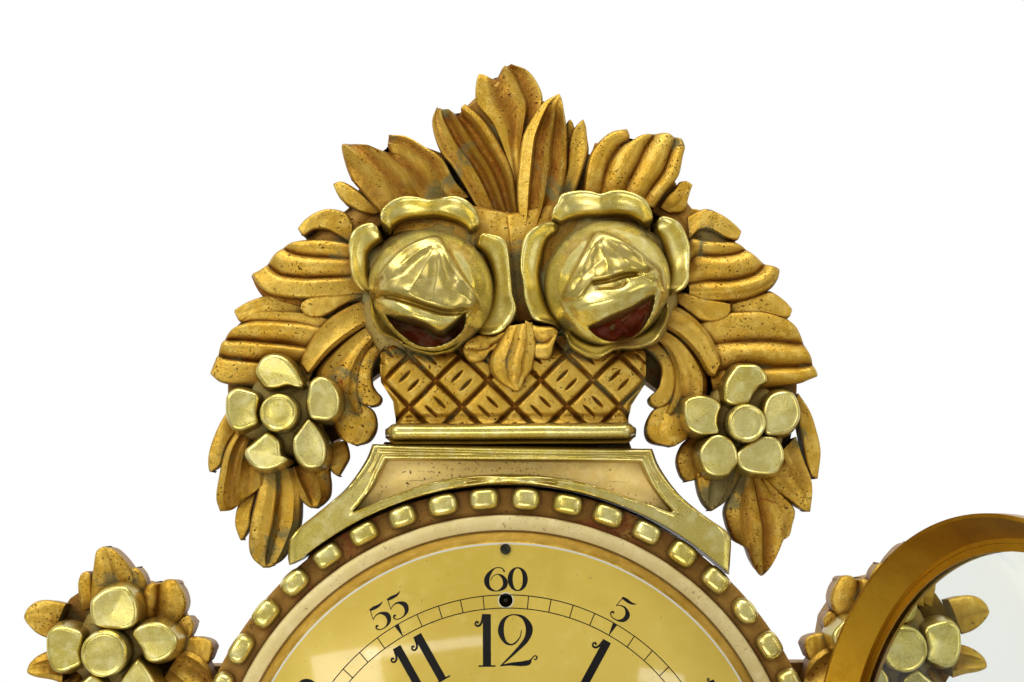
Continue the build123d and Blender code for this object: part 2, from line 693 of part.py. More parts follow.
with BuildPart() as minute_upright:
    with BuildSketch(leaning(minute_hand_y, minute_lean)):
        with BuildLine():
            Polyline((-1.1, 0), (-1.6, 46), (-4.2, 54), (-1.4, 62), (0, 82), (1.4, 62), (4.2, 54), (1.6, 46),
                     (1.1, 0), close=True)
        make_face()
        with Locations((0, 54)):
            RegularPolygon(2.1, 4, mode=Mode.SUBTRACT)
    extrude(amount=minute_hand_thick)
    with BuildSketch(Plane.XZ.offset(-minute_hand_y)):
        Circle(4.6)
        with Locations((0, -11)):
            Rectangle(3, 20)
    extrude(amount=minute_hand_thick)
    with BuildSketch(Plane.XZ.offset(-minute_hand_y - 1)):
        Circle(arbor_r)
    extrude(amount=minute_hand_thick + 2, mode=Mode.SUBTRACT)
minute_hand_part = minute_upright.part.rotate(Axis.Y, minute_turn)

with BuildPart() as hour_upright:
    with BuildSketch(leaning(hour_hand_y, hour_lean)):
        with BuildLine():
            Polyline((-1.4, 0), (-1.9, 26), (-6.5, 36), (-1.8, 44), (0, 56), (1.8, 44), (6.5, 36), (1.9, 26),
                     (1.4, 0), close=True)
        make_face()
        with Locations((0, 35.5)):
            RegularPolygon(3.4, 4, mode=Mode.SUBTRACT)
    extrude(amount=hour_hand_thick)
    with BuildSketch(Plane.XZ.offset(-hour_hand_y)):
        Circle(6)
    extrude(amount=hour_hand_thick)
    with BuildSketch(Plane.XZ.offset(-hour_hand_y - 1)):
        Circle(pipe_r)
    extrude(amount=hour_hand_thick + 2, mode=Mode.SUBTRACT)
hour_hand_part = hour_upright.part.rotate(Axis.Y, hour_turn)

with BuildPart() as hand_nut:
    with BuildSketch(Plane.XZ.offset(-minute_hand_y + minute_hand_thick)):
        Circle(3.0)
        Circle(arbor_r, mode=Mode.SUBTRACT)
    extrude(amount=2.1)

with BuildPart() as bezel_ring:
    with BuildSketch(Plane.XY):
        with BuildLine():
            Polyline((bezel_r, -66.0), (bezel_r, -71.0), (glass_r + 2.8, -81.0), (glass_r - 0.9, -82.4),
                     (glass_r - bezel_lip, -81.4), (glass_r - bezel_lip, bezel_rebate_y),
                     (glass_r, bezel_rebate_y), (glass_r, bezel_back_y), (glass_r + 1.6, bezel_back_y),
                     (bezel_r - 1.4, -66.0), close=True)
        make_face()
    revolve(axis=Axis.Y)
    with BuildSketch(Plane.XY.offset(-knuckle_half + knuckle_gap)):
        with Locations((hinge_x, hinge_y)):
            Circle(knuckle_r)
        with Locations((hinge_x - 4.2, hinge_y)):
            Rectangle(4.4, 2.4)
    extrude(amount=2 * (knuckle_half - knuckle_gap))
    with BuildSketch(Plane.XY.offset(-knuckle_half + knuckle_gap)):
        with Locations((hinge_x, hinge_y)):
            Circle(hinge_pin_r + running_gap)
    extrude(amount=2 * (knuckle_half - knuckle_gap), mode=Mode.SUBTRACT)

glass_curve_r = (glass_r**2 + glass_rise**2) / (2 * glass_rise)


def glass_y(radius):
    """Depth of the back of the domed glass at a radius."""
    drop = math.sqrt(glass_curve_r**2 - radius**2) - (glass_curve_r - glass_rise)
    return glass_seat_y - drop


with BuildPart() as door_glass:
    with BuildSketch(Plane.XY):
        with BuildLine():
            back = [(radius, glass_y(radius)) for radius in (0, 45, 80, glass_r)]
            front = [(radius, glass_y(radius) - glass_thick) for radius in (glass_r, 86, 58, 28, 0)]
            Polyline(*back, *front, close=True)
        make_face()
    revolve(axis=Axis.Y)

with BuildPart() as glass_retainer:
    with BuildSketch(Plane.XY):
        with BuildLine():
            Polyline((glass_r - 3, bezel_back_y), (glass_r, bezel_back_y), (glass_r, glass_seat_y),
                     (glass_r - 3, glass_seat_y), close=True)
        make_face()
    revolve(axis=Axis.Y)

door_axis = Axis((hinge_x, hinge_y, 0), (0, 0, 1))
bezel_part = bezel_ring.part.rotate(door_axis, door_angle)
glass_part = door_glass.part.rotate(door_axis, door_angle)
retainer_part = glass_retainer.part.rotate(door_axis, door_angle)

leaf_thick = 1.4
leaf_front_y = ground_y - leaf_thick
with BuildPart() as hinge_leaf:
    with BuildSketch(Plane.XZ.offset(-ground_y)):
        with Locations((hinge_x + 2.6, 0)):
            Rectangle(6.4, 2 * knuckle_end)
    extrude(amount=leaf_thick)
    for low_z in (-knuckle_end, knuckle_half):
        with BuildSketch(Plane.XY.offset(low_z)):
            with Locations((hinge_x, hinge_y)):
                Circle(knuckle_r)
            with Locations((hinge_x + 1.2, (hinge_y + leaf_front_y) / 2)):
                Rectangle(2.4, leaf_front_y - hinge_y)
            with Locations((hinge_x, hinge_y)):
                Circle(hinge_pin_r, mode=Mode.SUBTRACT)
        extrude(amount=knuckle_end - knuckle_half)

with BuildPart() as hinge_pin:
    with BuildSketch(Plane.XY.offset(-knuckle_end)):
        with Locations((hinge_x, hinge_y)):
            Circle(hinge_pin_r)
    extrude(amount=2 * knuckle_end)

with BuildPart() as pediment_board:
    with BuildSketch(Plane.XZ.offset(board_back)):
        with BuildLine():
            Polyline(*pediment_back, close=True)
        make_face()
        Circle(side_r, mode=Mode.SUBTRACT)
        with Locations(board_gap_centre):
            Circle(board_gap_r, mode=Mode.SUBTRACT)
    extrude(amount=board_front - board_back)

with BuildPart() as pediment:
    with BuildSketch(Plane.XZ.offset(board_front)):
        with BuildLine():
            Polyline(*pediment_outline, close=True)
        make_face()
        Circle(bead_clear_r, mode=Mode.SUBTRACT)
    extrude(amount=moulding_back - board_front)

with BuildPart() as pediment_moulding:
    with BuildSketch(Plane.XZ.offset(moulding_back)):
        with BuildLine():
            Polyline(*pediment_outline, close=True)
        make_face()
        Circle(bead_clear_r, mode=Mode.SUBTRACT)
        with BuildLine():
            Polyline(*pediment_panel, close=True)
        make_face(mode=Mode.SUBTRACT)
    extrude(amount=moulding_front - moulding_back)

with BuildPart() as basket_bar:
    with BuildSketch(Plane.YZ.offset(bar_left)):
        with BuildLine():
            Polyline((-board_front, bar_low - 1), (-board_front, bar_high + 1), (-bar_front + 2.5, bar_high),
                     (-bar_front, bar_high - 1.8), (-bar_front, bar_low + 1.8), (-bar_front + 2.5, bar_low),
                     close=True)
        make_face()
    extrude(amount=bar_right - bar_left)

with BuildPart() as basket:
    with BuildSketch(Plane.XZ.offset(board_front)):
        with BuildLine():
            Polyline(*basket_outline, close=True)
        make_face()
    extrude(amount=basket_front - board_front)
    chamfer(basket.faces().sort_by(Axis.Y)[0].edges().filter_by(Axis.X, reverse=True), length=2.5)

with BuildPart() as centre_leaf:
    with BuildSketch(Plane.XZ.offset(basket_front)):
        with BuildLine():
            Polyline(*centre_leaf_outline, close=True)
        make_face()
    extrude(amount=centre_front - basket_front)


petal_rise = ((0.0, 0.4), (0.12, 0.85), (0.3, 1.0), (0.5, 0.96), (0.7, 1.0), (0.88, 0.85), (1.0, 0.4))


def petal_points(centre, first, last, reach, root):
    """Outline of one outer petal: a round-ended band about the bud between two angles."""
    outer, inner = [], []
    for share, rise in petal_rise:
        angle = first + (last - first) * share
        outer.append(polar(root + (reach - root) * rise, angle))
        inner.append(polar(root, angle))
    return moved(outer + inner[::-1], *centre)


def rose(centre, petals):
    """Rose with a round core on the board, four outer petals and a turned bud."""
    core = round_points(centre, rose_core_r, 20)
    bud_steps = ((rose_front, rose_r - 3), (70.0, rose_r), (80.0, rose_r - 4), (88.0, 12.0), (91.0, 4.0))
    solids = [carved([(board_front, core), (rose_front, core)]),
              carved([(depth, round_points(centre, radius, 20)) for depth, radius in bud_steps])]
    for first, last, reach in petals:
        foot = petal_points(centre, first, last, reach, petal_root_r)
        top = petal_points(centre, first + 2, last - 2, reach - petal_slope, petal_root_r + petal_slope)
        solids.append(carved([(rose_front, foot), (petal_front, top)]))
    return solids


with BuildPart() as rose_left:
    add(rose(left_rose, left_petals))

with BuildPart() as rose_right:
    add(rose(right_rose, right_petals))


def rosette(points, core_r):
    """Round core, its domed petals and a button."""
    core = round_points(points[0], core_r, 16)
    solids = [carved([(board_front, core), (rosette_front, core)]),
              carved([(rosette_front, round_points(points[0], button_r, 12)),
                      (rosette_front + button_high, round_points(points[0], button_r - 2.1, 12))])]
    for point in points[1:]:
        solids.append(carved([(rosette_front, round_points(point, petal_r, 10)),
                              (rosette_front + petal_high * 0.6, round_points(point, petal_r * 0.8, 10)),
                              (rosette_front + petal_high, round_points(point, petal_r * 0.42, 10))]))
    return solids


with BuildPart() as left_crest_rosette:
    add(rosette(left_rosette, rosette_core_r))

with BuildPart() as right_crest_rosette:
    add(rosette(right_rosette, rosette_core_r))

with BuildPart() as left_side_rosette:
    add(rosette(side_rosette, rosette_core_r))

with BuildPart() as right_side_rosette:
    add(mirror(left_side_rosette.part, about=Plane.YZ))

pendant_petals = [polar(18, 90 + 60 * turn) for turn in range(6)]
pendant_points = [pendant_rosette] + moved(pendant_petals, *pendant_rosette)
with BuildPart() as pendant_boss:
    add(rosette(pendant_points, pendant_core_r))

with BuildPart() as left_swag:
    add(lobes(left_bands))
    add([basket.part, rose_left.part], mode=Mode.SUBTRACT)

with BuildPart() as right_swag:
    add(lobes(right_bands))
    add([basket.part, rose_right.part], mode=Mode.SUBTRACT)

with BuildPart() as crest_leaves:
    add(lobes(crown_leaves + left_leaves + right_leaves))
    add([left_swag.part, right_swag.part], mode=Mode.SUBTRACT)
    for centre, radius, corners in ((left_rose, rose_core_r, 20), (right_rose, rose_core_r, 20),
                                    (left_rosette[0], rosette_core_r, 16),
                                    (right_rosette[0], rosette_core_r, 16)):
        with BuildSketch(Plane.XZ.offset(board_front)):
            with BuildLine():
                Polyline(*round_points(centre, radius, corners), close=True)
            make_face()
        extrude(amount=rose_front - board_front, mode=Mode.SUBTRACT)
    with BuildSketch(Plane.XZ.offset(board_front)):
        with BuildLine():
            Polyline(*basket_outline, close=True)
        make_face()
    extrude(amount=basket_front - board_front, mode=Mode.SUBTRACT)

with BuildPart() as crest_board:
    with BuildSketch(Plane.XZ.offset(board_back)):
        with BuildLine():
            Polyline(*crest_outline, close=True)
        make_face()
    extrude(amount=board_front - board_back)

with BuildPart() as left_drop_leaves:
    add(lobes(left_drops))
    add([left_swag.part, left_crest_rosette.part], mode=Mode.SUBTRACT)

with BuildPart() as right_drop_leaves:
    add(lobes(right_drops))
    add([right_swag.part, right_crest_rosette.part], mode=Mode.SUBTRACT)

with BuildPart() as left_side_leaves:
    add(lobes(side_leaves))
    add(left_side_rosette.part, mode=Mode.SUBTRACT)

with BuildPart() as right_side_leaves:
    add(mirror(left_side_leaves.part, about=Plane.YZ))

with BuildPart() as lower_board:
    with BuildSketch(Plane.XZ.offset(board_back)):
        Circle(festoon_board_r)
        with Locations((0, festoon_board_z + festoon_board_r / 2)):
            Rectangle(2 * festoon_board_r, festoon_board_r, mode=Mode.SUBTRACT)
        with Locations(side_rosette[0], (-side_rosette[0][0], side_rosette[0][1])):
            RegularPolygon(side_board_r, 16)
        with BuildLine():
            Polyline(*pendant_outline, close=True)
        make_face()
        Circle(side_r, mode=Mode.SUBTRACT)
    extrude(amount=board_front - board_back)

with BuildPart() as lower_leaves:
    lower_rows = festoon_leaves + pendant_leaves
    add(lobes(lower_rows) + lobes(lower_rows, True) + lobe(pendant_tip))
    add(pendant_boss.part, mode=Mode.SUBTRACT)
    with BuildSketch(Plane.XZ.offset(board_front)):
        Circle(bead_clear_r)
    extrude(amount=rose_front - board_front, mode=Mode.SUBTRACT)

with BuildPart() as pendant_finial:
    for low_z, low_half, high_z, high_half in ((finial_z - 26, 2, finial_z - 12, 8),
                                               (finial_z - 12, 8, finial_z + 6, 4.5)):
        with BuildSketch(Plane.XY.offset(low_z)) as low_ring:
            with Locations((0, -board_front)):
                RegularPolygon(low_half, 12)
        with BuildSketch(Plane.XY.offset(high_z)) as high_ring:
            with Locations((0, -board_front)):
                RegularPolygon(high_half, 12)
        loft(sections=[low_ring.sketch, high_ring.sketch], ruled=True)

os.makedirs("parts", exist_ok=True)
made = {
    "case_ring": case_ring.part, "cream_ring": cream_ring.part, "pearl_beads": pearl_beads.part,
    "dial_surround": dial_surround.part, "case_drum": case_drum.part, "back_cover": back_cover.part,
    "hanger_plate": hanger_plate.part, "cover_screws": cover_screws.part,
    "movement_plates": movement_plates.part, "movement_pillars": movement_pillars.part,
    "movement_brackets": movement_brackets.part, "bracket_screws": bracket_screws.part,
    "cannon_pinion": cannon_pinion.part, "minute_wheel": minute_wheel.part, "hour_wheel": hour_wheel.part,
    "going_barrel": going_barrel.part, "strike_barrel": strike_barrel.part,
    "suspension_cock": suspension_cock.part, "regulator_arbor": regulator_arbor.part,
    "pendulum_rod": pendulum_rod.part, "pendulum_bob": pendulum_bob.part, "bell": bell_part,
    "bell_stand": bell_stand.part, "strike_hammer": strike_hammer.part, "dial_plate": dial_plate.part,
    "dial_screws": dial_screws.part, "minute_hand": minute_hand_part, "hour_hand": hour_hand_part,
    "hand_nut": hand_nut.part, "bezel_ring": bezel_part, "door_glass": glass_part,
    "glass_retainer": retainer_part, "hinge_leaf": hinge_leaf.part, "hinge_pin": hinge_pin.part,
    "pediment_board": pediment_board.part, "pediment": pediment.part,
    "pediment_moulding": pediment_moulding.part, "basket_bar": basket_bar.part, "basket": basket.part,
    "centre_leaf": centre_leaf.part, "rose_left": rose_left.part, "rose_right": rose_right.part,
    "left_crest_rosette": left_crest_rosette.part, "right_crest_rosette": right_crest_rosette.part,
    "left_side_rosette": left_side_rosette.part, "right_side_rosette": right_side_rosette.part,
    "pendant_boss": pendant_boss.part, "left_swag": left_swag.part, "right_swag": right_swag.part,
    "crest_leaves": crest_leaves.part, "crest_board": crest_board.part,
    "left_drop_leaves": left_drop_leaves.part, "right_drop_leaves": right_drop_leaves.part,
    "left_side_leaves": left_side_leaves.part, "right_side_leaves": right_side_leaves.part,
    "lower_board": lower_board.part, "lower_leaves": lower_leaves.part,
    "pendant_finial": pendant_finial.part,
}
for node, shape in made.items():
    shape.label = node
    export_step(shape, f"parts/{node}.step")
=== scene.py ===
import math

import bpy
import numpy as np
from mathutils import Matrix, Quaternion, Vector
from mathutils.geometry import delaunay_2d_cdt


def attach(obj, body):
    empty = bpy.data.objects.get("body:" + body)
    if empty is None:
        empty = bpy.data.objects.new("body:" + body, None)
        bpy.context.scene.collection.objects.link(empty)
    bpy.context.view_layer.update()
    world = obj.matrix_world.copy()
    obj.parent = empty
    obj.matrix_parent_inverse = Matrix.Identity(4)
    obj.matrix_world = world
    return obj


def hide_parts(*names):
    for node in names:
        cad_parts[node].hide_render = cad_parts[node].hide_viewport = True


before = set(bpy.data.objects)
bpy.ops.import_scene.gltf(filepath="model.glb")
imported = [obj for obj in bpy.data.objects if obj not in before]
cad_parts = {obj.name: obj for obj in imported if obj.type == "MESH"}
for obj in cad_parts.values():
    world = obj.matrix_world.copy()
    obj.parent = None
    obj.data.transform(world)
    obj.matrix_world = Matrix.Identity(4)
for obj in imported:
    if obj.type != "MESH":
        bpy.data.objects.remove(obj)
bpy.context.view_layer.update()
print("frame loaded")

# Lengths are millimetres in the clock's own frame: x right, z up from the dial's axis, the front towards -y.
mm = 0.001
seed = np.random.default_rng(11)

# Camera, world and lamps.
cameraLook = {
    "place": (-5.0, -816.0, 119.0),
    "right": (0.99994, -0.01033, -0.00539),
    "up": (0.00442, -0.0912, 0.99583),
    "forward": (0.0108, 0.9958, 0.0912),
    "lens": 65.3,
}
cameraData = bpy.data.cameras.new("clockCamera")
cameraData.lens = cameraLook["lens"]
cameraData.sensor_width = 36
cameraData.clip_start = 0.01
camera = bpy.data.objects.new("clockCamera", cameraData)
turn = Matrix([cameraLook["right"], cameraLook["up"], [-part for part in cameraLook["forward"]]]).transposed()
camera.matrix_world = Matrix.Translation(Vector(cameraLook["place"]) * mm) @ turn.to_4x4()
bpy.context.scene.collection.objects.link(camera)
bpy.context.scene.camera = camera
bpy.context.scene.view_settings.view_transform = "Standard"

lampLook = {
    # name: (place, aim, width, height, roll in degrees, watts)
    "keyLamp": ((-900, -1100, 900), (0, -60, 150), 700, 700, 0, 9.6),
    "fillLamp": ((1000, -1000, 350), (0, -60, 120), 500, 900, 0, 3.0),
    "topLamp": ((0, -450, 1300), (0, -60, 150), 900, 500, 0, 9.5),
    "lowLamp": ((-250, -900, -500), (0, -60, 100), 700, 300, 0, 3.2),
    # three small windows that the dial mirrors
    "leftWindow": ((-372, -960, 192), (-60, -78, 56), 165, 100, 12, 0.24),
    "longWindow": ((-185, -960, 247), (-40, -78, 66), 280, 24, 8, 0.1),
    "rightWindow": ((375, -960, 172), (60, -78, 54), 110, 34, -14, 0.06),
}
for name, (place, aim, width, height, roll, watts) in lampLook.items():
    lampData = bpy.data.lights.new(name, "AREA")
    lampData.shape = "RECTANGLE"
    lampData.size, lampData.size_y = width * mm, height * mm
    lampData.energy = watts
    lamp = bpy.data.objects.new(name, lampData)
    lamp.location = Vector(place) * mm
    facing = (Vector(aim) - Vector(place)).to_track_quat("-Z", "Y")
    lamp.rotation_euler = (facing @ Quaternion((0, 0, 1), math.radians(roll))).to_euler()
    bpy.context.scene.collection.objects.link(lamp)

worldLook = {
    "room": (0.6, 0.6, 0.6, 1), "level": 0.7,  # plain light from all round
    "gloss": 1.1,        # the room that polished gilding mirrors on the viewer's side is brighter by this
    "backdrop": (1, 1, 1, 1),
    "turnover": (-0.25, 0.15),  # the mirrored room turns to the backdrop between these
}

# Shaders.
def addNode(tree, kind, **values):
    # One shader node with its plain properties set.
    node = tree.nodes.new(kind)
    for key, value in values.items():
        setattr(node, key, value)
    return node


def setInputs(node, values):
    # Plain values of several sockets.
    for label, value in values.items():
        node.inputs[label].default_value = value


def join(tree, source, node, socket):
    # Link a socket, or set its plain value.
    if isinstance(source, (int, float, tuple)):
        node.inputs[socket].default_value = source
    else:
        tree.links.new(source, node.inputs[socket])


def mathNode(tree, operation, first, second=0.0, clamp=False):
    # Value arithmetic.
    node = addNode(tree, "ShaderNodeMath", operation=operation, use_clamp=clamp)
    join(tree, first, node, 0)
    join(tree, second, node, 1)
    return node.outputs[0]


def times(tree, first, second, clamp=False):
    return mathNode(tree, "MULTIPLY", first, second, clamp)


def plus(tree, first, second, clamp=False):
    return mathNode(tree, "ADD", first, second, clamp)


def minus(tree, first, second):
    return mathNode(tree, "SUBTRACT", first, second)


def mixNode(tree, factor, first, second):
    # Colour mix.
    node = addNode(tree, "ShaderNodeMix", data_type="RGBA", clamp_factor=True)
    join(tree, factor, node, 0)
    join(tree, first, node, 6)
    join(tree, second, node, 7)
    return node.outputs[2]


def stepNode(tree, value, low, high):
    # 0 below low, 1 above high, smooth between.
    node = addNode(tree, "ShaderNodeMapRange", interpolation_type="SMOOTHSTEP")
    join(tree, value, node, "Value")
    setInputs(node, {"From Min": low, "From Max": high})
    return node.outputs["Result"]


def noiseNode(tree, coords, scale, detail=3.0, rough=0.5, distortion=0.0):
    # Noise with scale in patterns per metre.
    node = addNode(tree, "ShaderNodeTexNoise")
    tree.links.new(coords, node.inputs["Vector"])
    setInputs(node, {"Scale": scale, "Detail": detail, "Roughness": rough, "Distortion": distortion})
    return node.outputs["Fac"]


def srgb(red, green, blue):
    # Display colour 0-255 as a linear colour.
    parts = [part / 255 for part in (red, green, blue)]
    linear = [part / 12.92 if part <= 0.04045 else ((part + 0.055) / 1.055) ** 2.4 for part in parts]
    return (*linear, 1.0)


def buildWorld():
    # White behind the clock for the camera, glass and metal; a softer grey room gives the plain light.
    world = bpy.data.worlds.new("plainRoom")
    bpy.context.scene.world = world
    world.use_nodes = True
    tree = world.node_tree
    tree.nodes.clear()
    rays = addNode(tree, "ShaderNodeLightPath").outputs
    split = addNode(tree, "ShaderNodeSeparateXYZ")
    join(tree, addNode(tree, "ShaderNodeTexCoord").outputs["Generated"], split, 0)
    behind = addNode(tree, "ShaderNodeMapRange")  # 1 behind the clock, 0 on the viewer's side
    setInputs(behind, {"From Min": worldLook["turnover"][0], "From Max": worldLook["turnover"][1]})
    join(tree, split.outputs["Y"], behind, "Value")
    seen = mathNode(tree, "MAXIMUM", rays["Is Glossy Ray"], rays["Is Transmission Ray"])
    white = mathNode(tree, "MAXIMUM", rays["Is Camera Ray"], times(tree, seen, behind.outputs["Result"]))
    room = addNode(tree, "ShaderNodeBackground")
    room.inputs["Color"].default_value = worldLook["room"]
    brighter = times(tree, rays["Is Glossy Ray"], worldLook["level"] * (worldLook["gloss"] - 1))
    join(tree, plus(tree, brighter, worldLook["level"]), room, "Strength")
    backdrop = addNode(tree, "ShaderNodeBackground")
    backdrop.inputs["Color"].default_value = worldLook["backdrop"]
    mix = addNode(tree, "ShaderNodeMixShader")
    for spot, source in enumerate((white, room.outputs[0], backdrop.outputs[0])):
        join(tree, source, mix, spot)
    join(tree, mix.outputs[0], addNode(tree, "ShaderNodeOutputWorld"), 0)


buildWorld()
print("camera, world and lamps placed")


def newMaterial(name):
    # Material with its node tree and its shader.
    material = bpy.data.materials.new(name)
    material.use_nodes = True
    return material, material.node_tree, material.node_tree.nodes["Principled BSDF"]


def addBump(tree, shader, height, strength, depth):
    # Relief of a depth in millimetres from a height.
    bump = addNode(tree, "ShaderNodeBump")
    setInputs(bump, {"Strength": strength, "Distance": depth * mm})
    tree.links.new(height, bump.inputs["Height"])
    tree.links.new(bump.outputs[0], shader.inputs["Normal"])


def groupTree(name, inputs, outputs):
    # Empty node group with its sockets; each entry is (name, kind, value).
    tree = bpy.data.node_groups.new(name, "ShaderNodeTree")
    for label, kind, value in inputs:
        socket = tree.interface.new_socket(name=label, in_out="INPUT", socket_type=kind)
        socket.default_value = value
    for label, kind in outputs:
        tree.interface.new_socket(name=label, in_out="OUTPUT", socket_type=kind)
    return tree, tree.nodes.new("NodeGroupInput"), tree.nodes.new("NodeGroupOutput")


gildingLook = {
    # patterns per metre
    "drift": 38, "cloud": 210, "grain": 1150, "wear": 46, "bole": 165, "speck": 900, "crowd": 60,
    "reach": 0.014,      # how near a neighbouring face has to be, in metres, to get painted shade and grime
    "coatRough": 0.12, "specular": 0.25,
}


def buildGilding():
    # Gold leaf over carved wood: tone drifts, hollows go orange-brown as painted shade mixed with grime,
    # specks and worn grey-green patches.
    colour, value = "NodeSocketColor", "NodeSocketFloat"
    tree, given, out = groupTree("agedGilding", [
        ("Gold", colour, srgb(190, 152, 62)), ("Hollow Gold", colour, srgb(112, 72, 10)),
        ("Light Gold", colour, srgb(226, 200, 126)), ("Worn", colour, srgb(122, 112, 70)),
        ("Bole", colour, srgb(130, 40, 14)), ("Speck", colour, srgb(78, 48, 10)),
        ("Specks", value, 1.0), ("Wear", value, 0.5), ("Grime", value, 1.0), ("Grain", value, 1.0),
        ("Roughness", value, 0.4),
    ], [("Color", colour), ("Roughness", value), ("Height", value)])
    given = given.outputs
    coords = tree.nodes.new("ShaderNodeTexCoord").outputs["Object"]
    # per-point share of painted shade and grime, set by the carving code in grooves, on walls and at edges
    hollow = addNode(tree, "ShaderNodeAttribute", attribute_name="hollow").outputs["Fac"]
    near = addNode(tree, "ShaderNodeAmbientOcclusion", samples=6)
    near.inputs["Distance"].default_value = gildingLook["reach"]
    drift = noiseNode(tree, coords, gildingLook["drift"], 4, 0.6)
    cloud = noiseNode(tree, coords, gildingLook["cloud"], 4, 0.65)
    grain = noiseNode(tree, coords, gildingLook["grain"], 3, 0.6)
    tone = mixNode(tree, stepNode(tree, drift, 0.32, 0.7), given["Gold"], given["Light Gold"])
    rubbed = times(tree, stepNode(tree, cloud, 0.46, 0.68), 0.7)
    gold = mixNode(tree, rubbed, mixNode(tree, 0.45, given["Gold"], tone), given["Light Gold"])
    # painted shade: faces closed in by their neighbours darken towards the hollow colour together with grime,
    # and the most closed-in ones towards the speck colour
    closed = minus(tree, 1.0, near.outputs["AO"])
    grimeAndShade = times(tree, stepNode(tree, closed, 0.12, 0.75), given["Grime"])
    patchy = times(tree, plus(tree, grimeAndShade, hollow, clamp=True), plus(tree, times(tree, cloud, 0.9), 0.45))
    shade = mixNode(tree, mathNode(tree, "MINIMUM", patchy, 1.0), gold, given["Hollow Gold"])
    shade = mixNode(tree, times(tree, stepNode(tree, closed, 0.55, 0.95), 0.7), shade, given["Speck"])
    wearNoise = noiseNode(tree, coords, gildingLook["wear"], 5, 0.7, 0.6)
    wornArea = stepNode(tree, plus(tree, wearNoise, times(tree, closed, 0.16)), 0.62, 0.69)
    worn = times(tree, wornArea, given["Wear"])
    shade = mixNode(tree, worn, shade, given["Worn"])
    boleArea = stepNode(tree, noiseNode(tree, coords, gildingLook["bole"], 3, 0.6, 1.2), 0.69, 0.74)
    bole = times(tree, times(tree, boleArea, stepNode(tree, closed, 0.05, 0.3)), given["Wear"])
    shade = mixNode(tree, bole, shade, given["Bole"])
    spot = stepNode(tree, noiseNode(tree, coords, gildingLook["speck"], 2, 0.55), 0.62, 0.69)
    crowd = stepNode(tree, noiseNode(tree, coords, gildingLook["crowd"], 3, 0.6), 0.42, 0.62)
    specks = times(tree, times(tree, spot, crowd), given["Specks"], clamp=True)
    tree.links.new(mixNode(tree, specks, shade, given["Speck"]), out.inputs["Color"])
    rough = plus(tree, given["Roughness"], times(tree, minus(tree, cloud, 0.45), 0.22))
    rough = plus(tree, rough, times(tree, plus(tree, worn, grimeAndShade), 0.18), clamp=True)
    tree.links.new(rough, out.inputs["Roughness"])
    relief = plus(tree, times(tree, grain, 0.35), times(tree, cloud, 0.9))
    relief = minus(tree, relief, times(tree, specks, 0.5))
    tree.links.new(times(tree, relief, given["Grain"]), out.inputs["Height"])
    return tree


gildingGroup = buildGilding()


def gildedMaterial(name, metallic, bumpDepth, coat=0.0, **values):
    # Material whose colour, gloss and relief come from the gilding group; its colours are display values.
    material, tree, shader = newMaterial(name)
    group = addNode(tree, "ShaderNodeGroup", node_tree=gildingGroup)
    for label, value in values.items():
        socket = group.inputs[label.replace("_", " ")]
        socket.default_value = srgb(*value) if isinstance(value, tuple) else value
    tree.links.new(group.outputs["Color"], shader.inputs["Base Color"])
    tree.links.new(group.outputs["Roughness"], shader.inputs["Roughness"])
    addBump(tree, shader, group.outputs["Height"], 1.0, bumpDepth)
    setInputs(shader, {"Metallic": metallic, "Coat Weight": coat, "Coat Roughness": gildingLook["coatRough"],
                       "Specular IOR Level": gildingLook["specular"]})
    return material


# The hollow colour of each gilding is the tone of its painted shade, mixed with grime; the burnished gilt's
# is olive for olive shade.
giltWood = gildedMaterial(
    "giltWood", 0.72, 0.5, Gold=(184, 142, 42), Hollow_Gold=(120, 70, 8), Light_Gold=(214, 182, 88),
    Roughness=0.42, Specks=1.3, Wear=0.95)
burnishedGilt = gildedMaterial(
    "burnishedGilt", 0.85, 0.1, coat=0.2, Gold=(208, 190, 92), Hollow_Gold=(150, 118, 30),
    Light_Gold=(234, 224, 158), Worn=(132, 128, 88), Speck=(92, 78, 30), Roughness=0.27, Specks=0.4,
    Wear=0.15, Grime=0.9, Grain=0.25)
groundGilt = gildedMaterial(
    "groundGilt", 0.2, 0.5, Gold=(158, 134, 62), Hollow_Gold=(112, 84, 28), Light_Gold=(190, 168, 96),
    Worn=(130, 124, 82), Speck=(78, 58, 20), Roughness=0.5, Specks=0.8, Wear=1.0, Grime=0.45)
carvedGround = gildedMaterial(
    "carvedGround", 0.5, 0.5, Gold=(160, 116, 40), Hollow_Gold=(106, 62, 10), Light_Gold=(190, 152, 76),
    Roughness=0.5, Specks=1.2, Wear=0.7, Grime=0.7)
panelGilt = gildedMaterial(
    "panelGilt", 0.35, 0.3, Gold=(246, 212, 120), Hollow_Gold=(190, 142, 60), Light_Gold=(252, 228, 152),
    Roughness=0.5, Specks=1.3, Wear=0.2, Grime=0.1)
creamGilt = gildedMaterial(
    "creamGilt", 0.3, 0.2, Gold=(200, 180, 118), Hollow_Gold=(150, 108, 40), Light_Gold=(216, 200, 148),
    Roughness=0.5, Specks=0.5, Wear=0.05, Grime=0.5)
umberGround = gildedMaterial(
    "umberGround", 0.3, 0.4, Gold=(134, 96, 30), Hollow_Gold=(74, 40, 10), Light_Gold=(166, 126, 56),
    Worn=(120, 52, 24), Roughness=0.5, Specks=1.0, Wear=0.6, Grime=0.8)
coneGilt = gildedMaterial(
    "coneGilt", 0.8, 0.1, Gold=(192, 154, 58), Hollow_Gold=(156, 106, 20), Light_Gold=(228, 196, 104),
    Roughness=0.3, Specks=0.3, Wear=0.0, Grime=0.4)
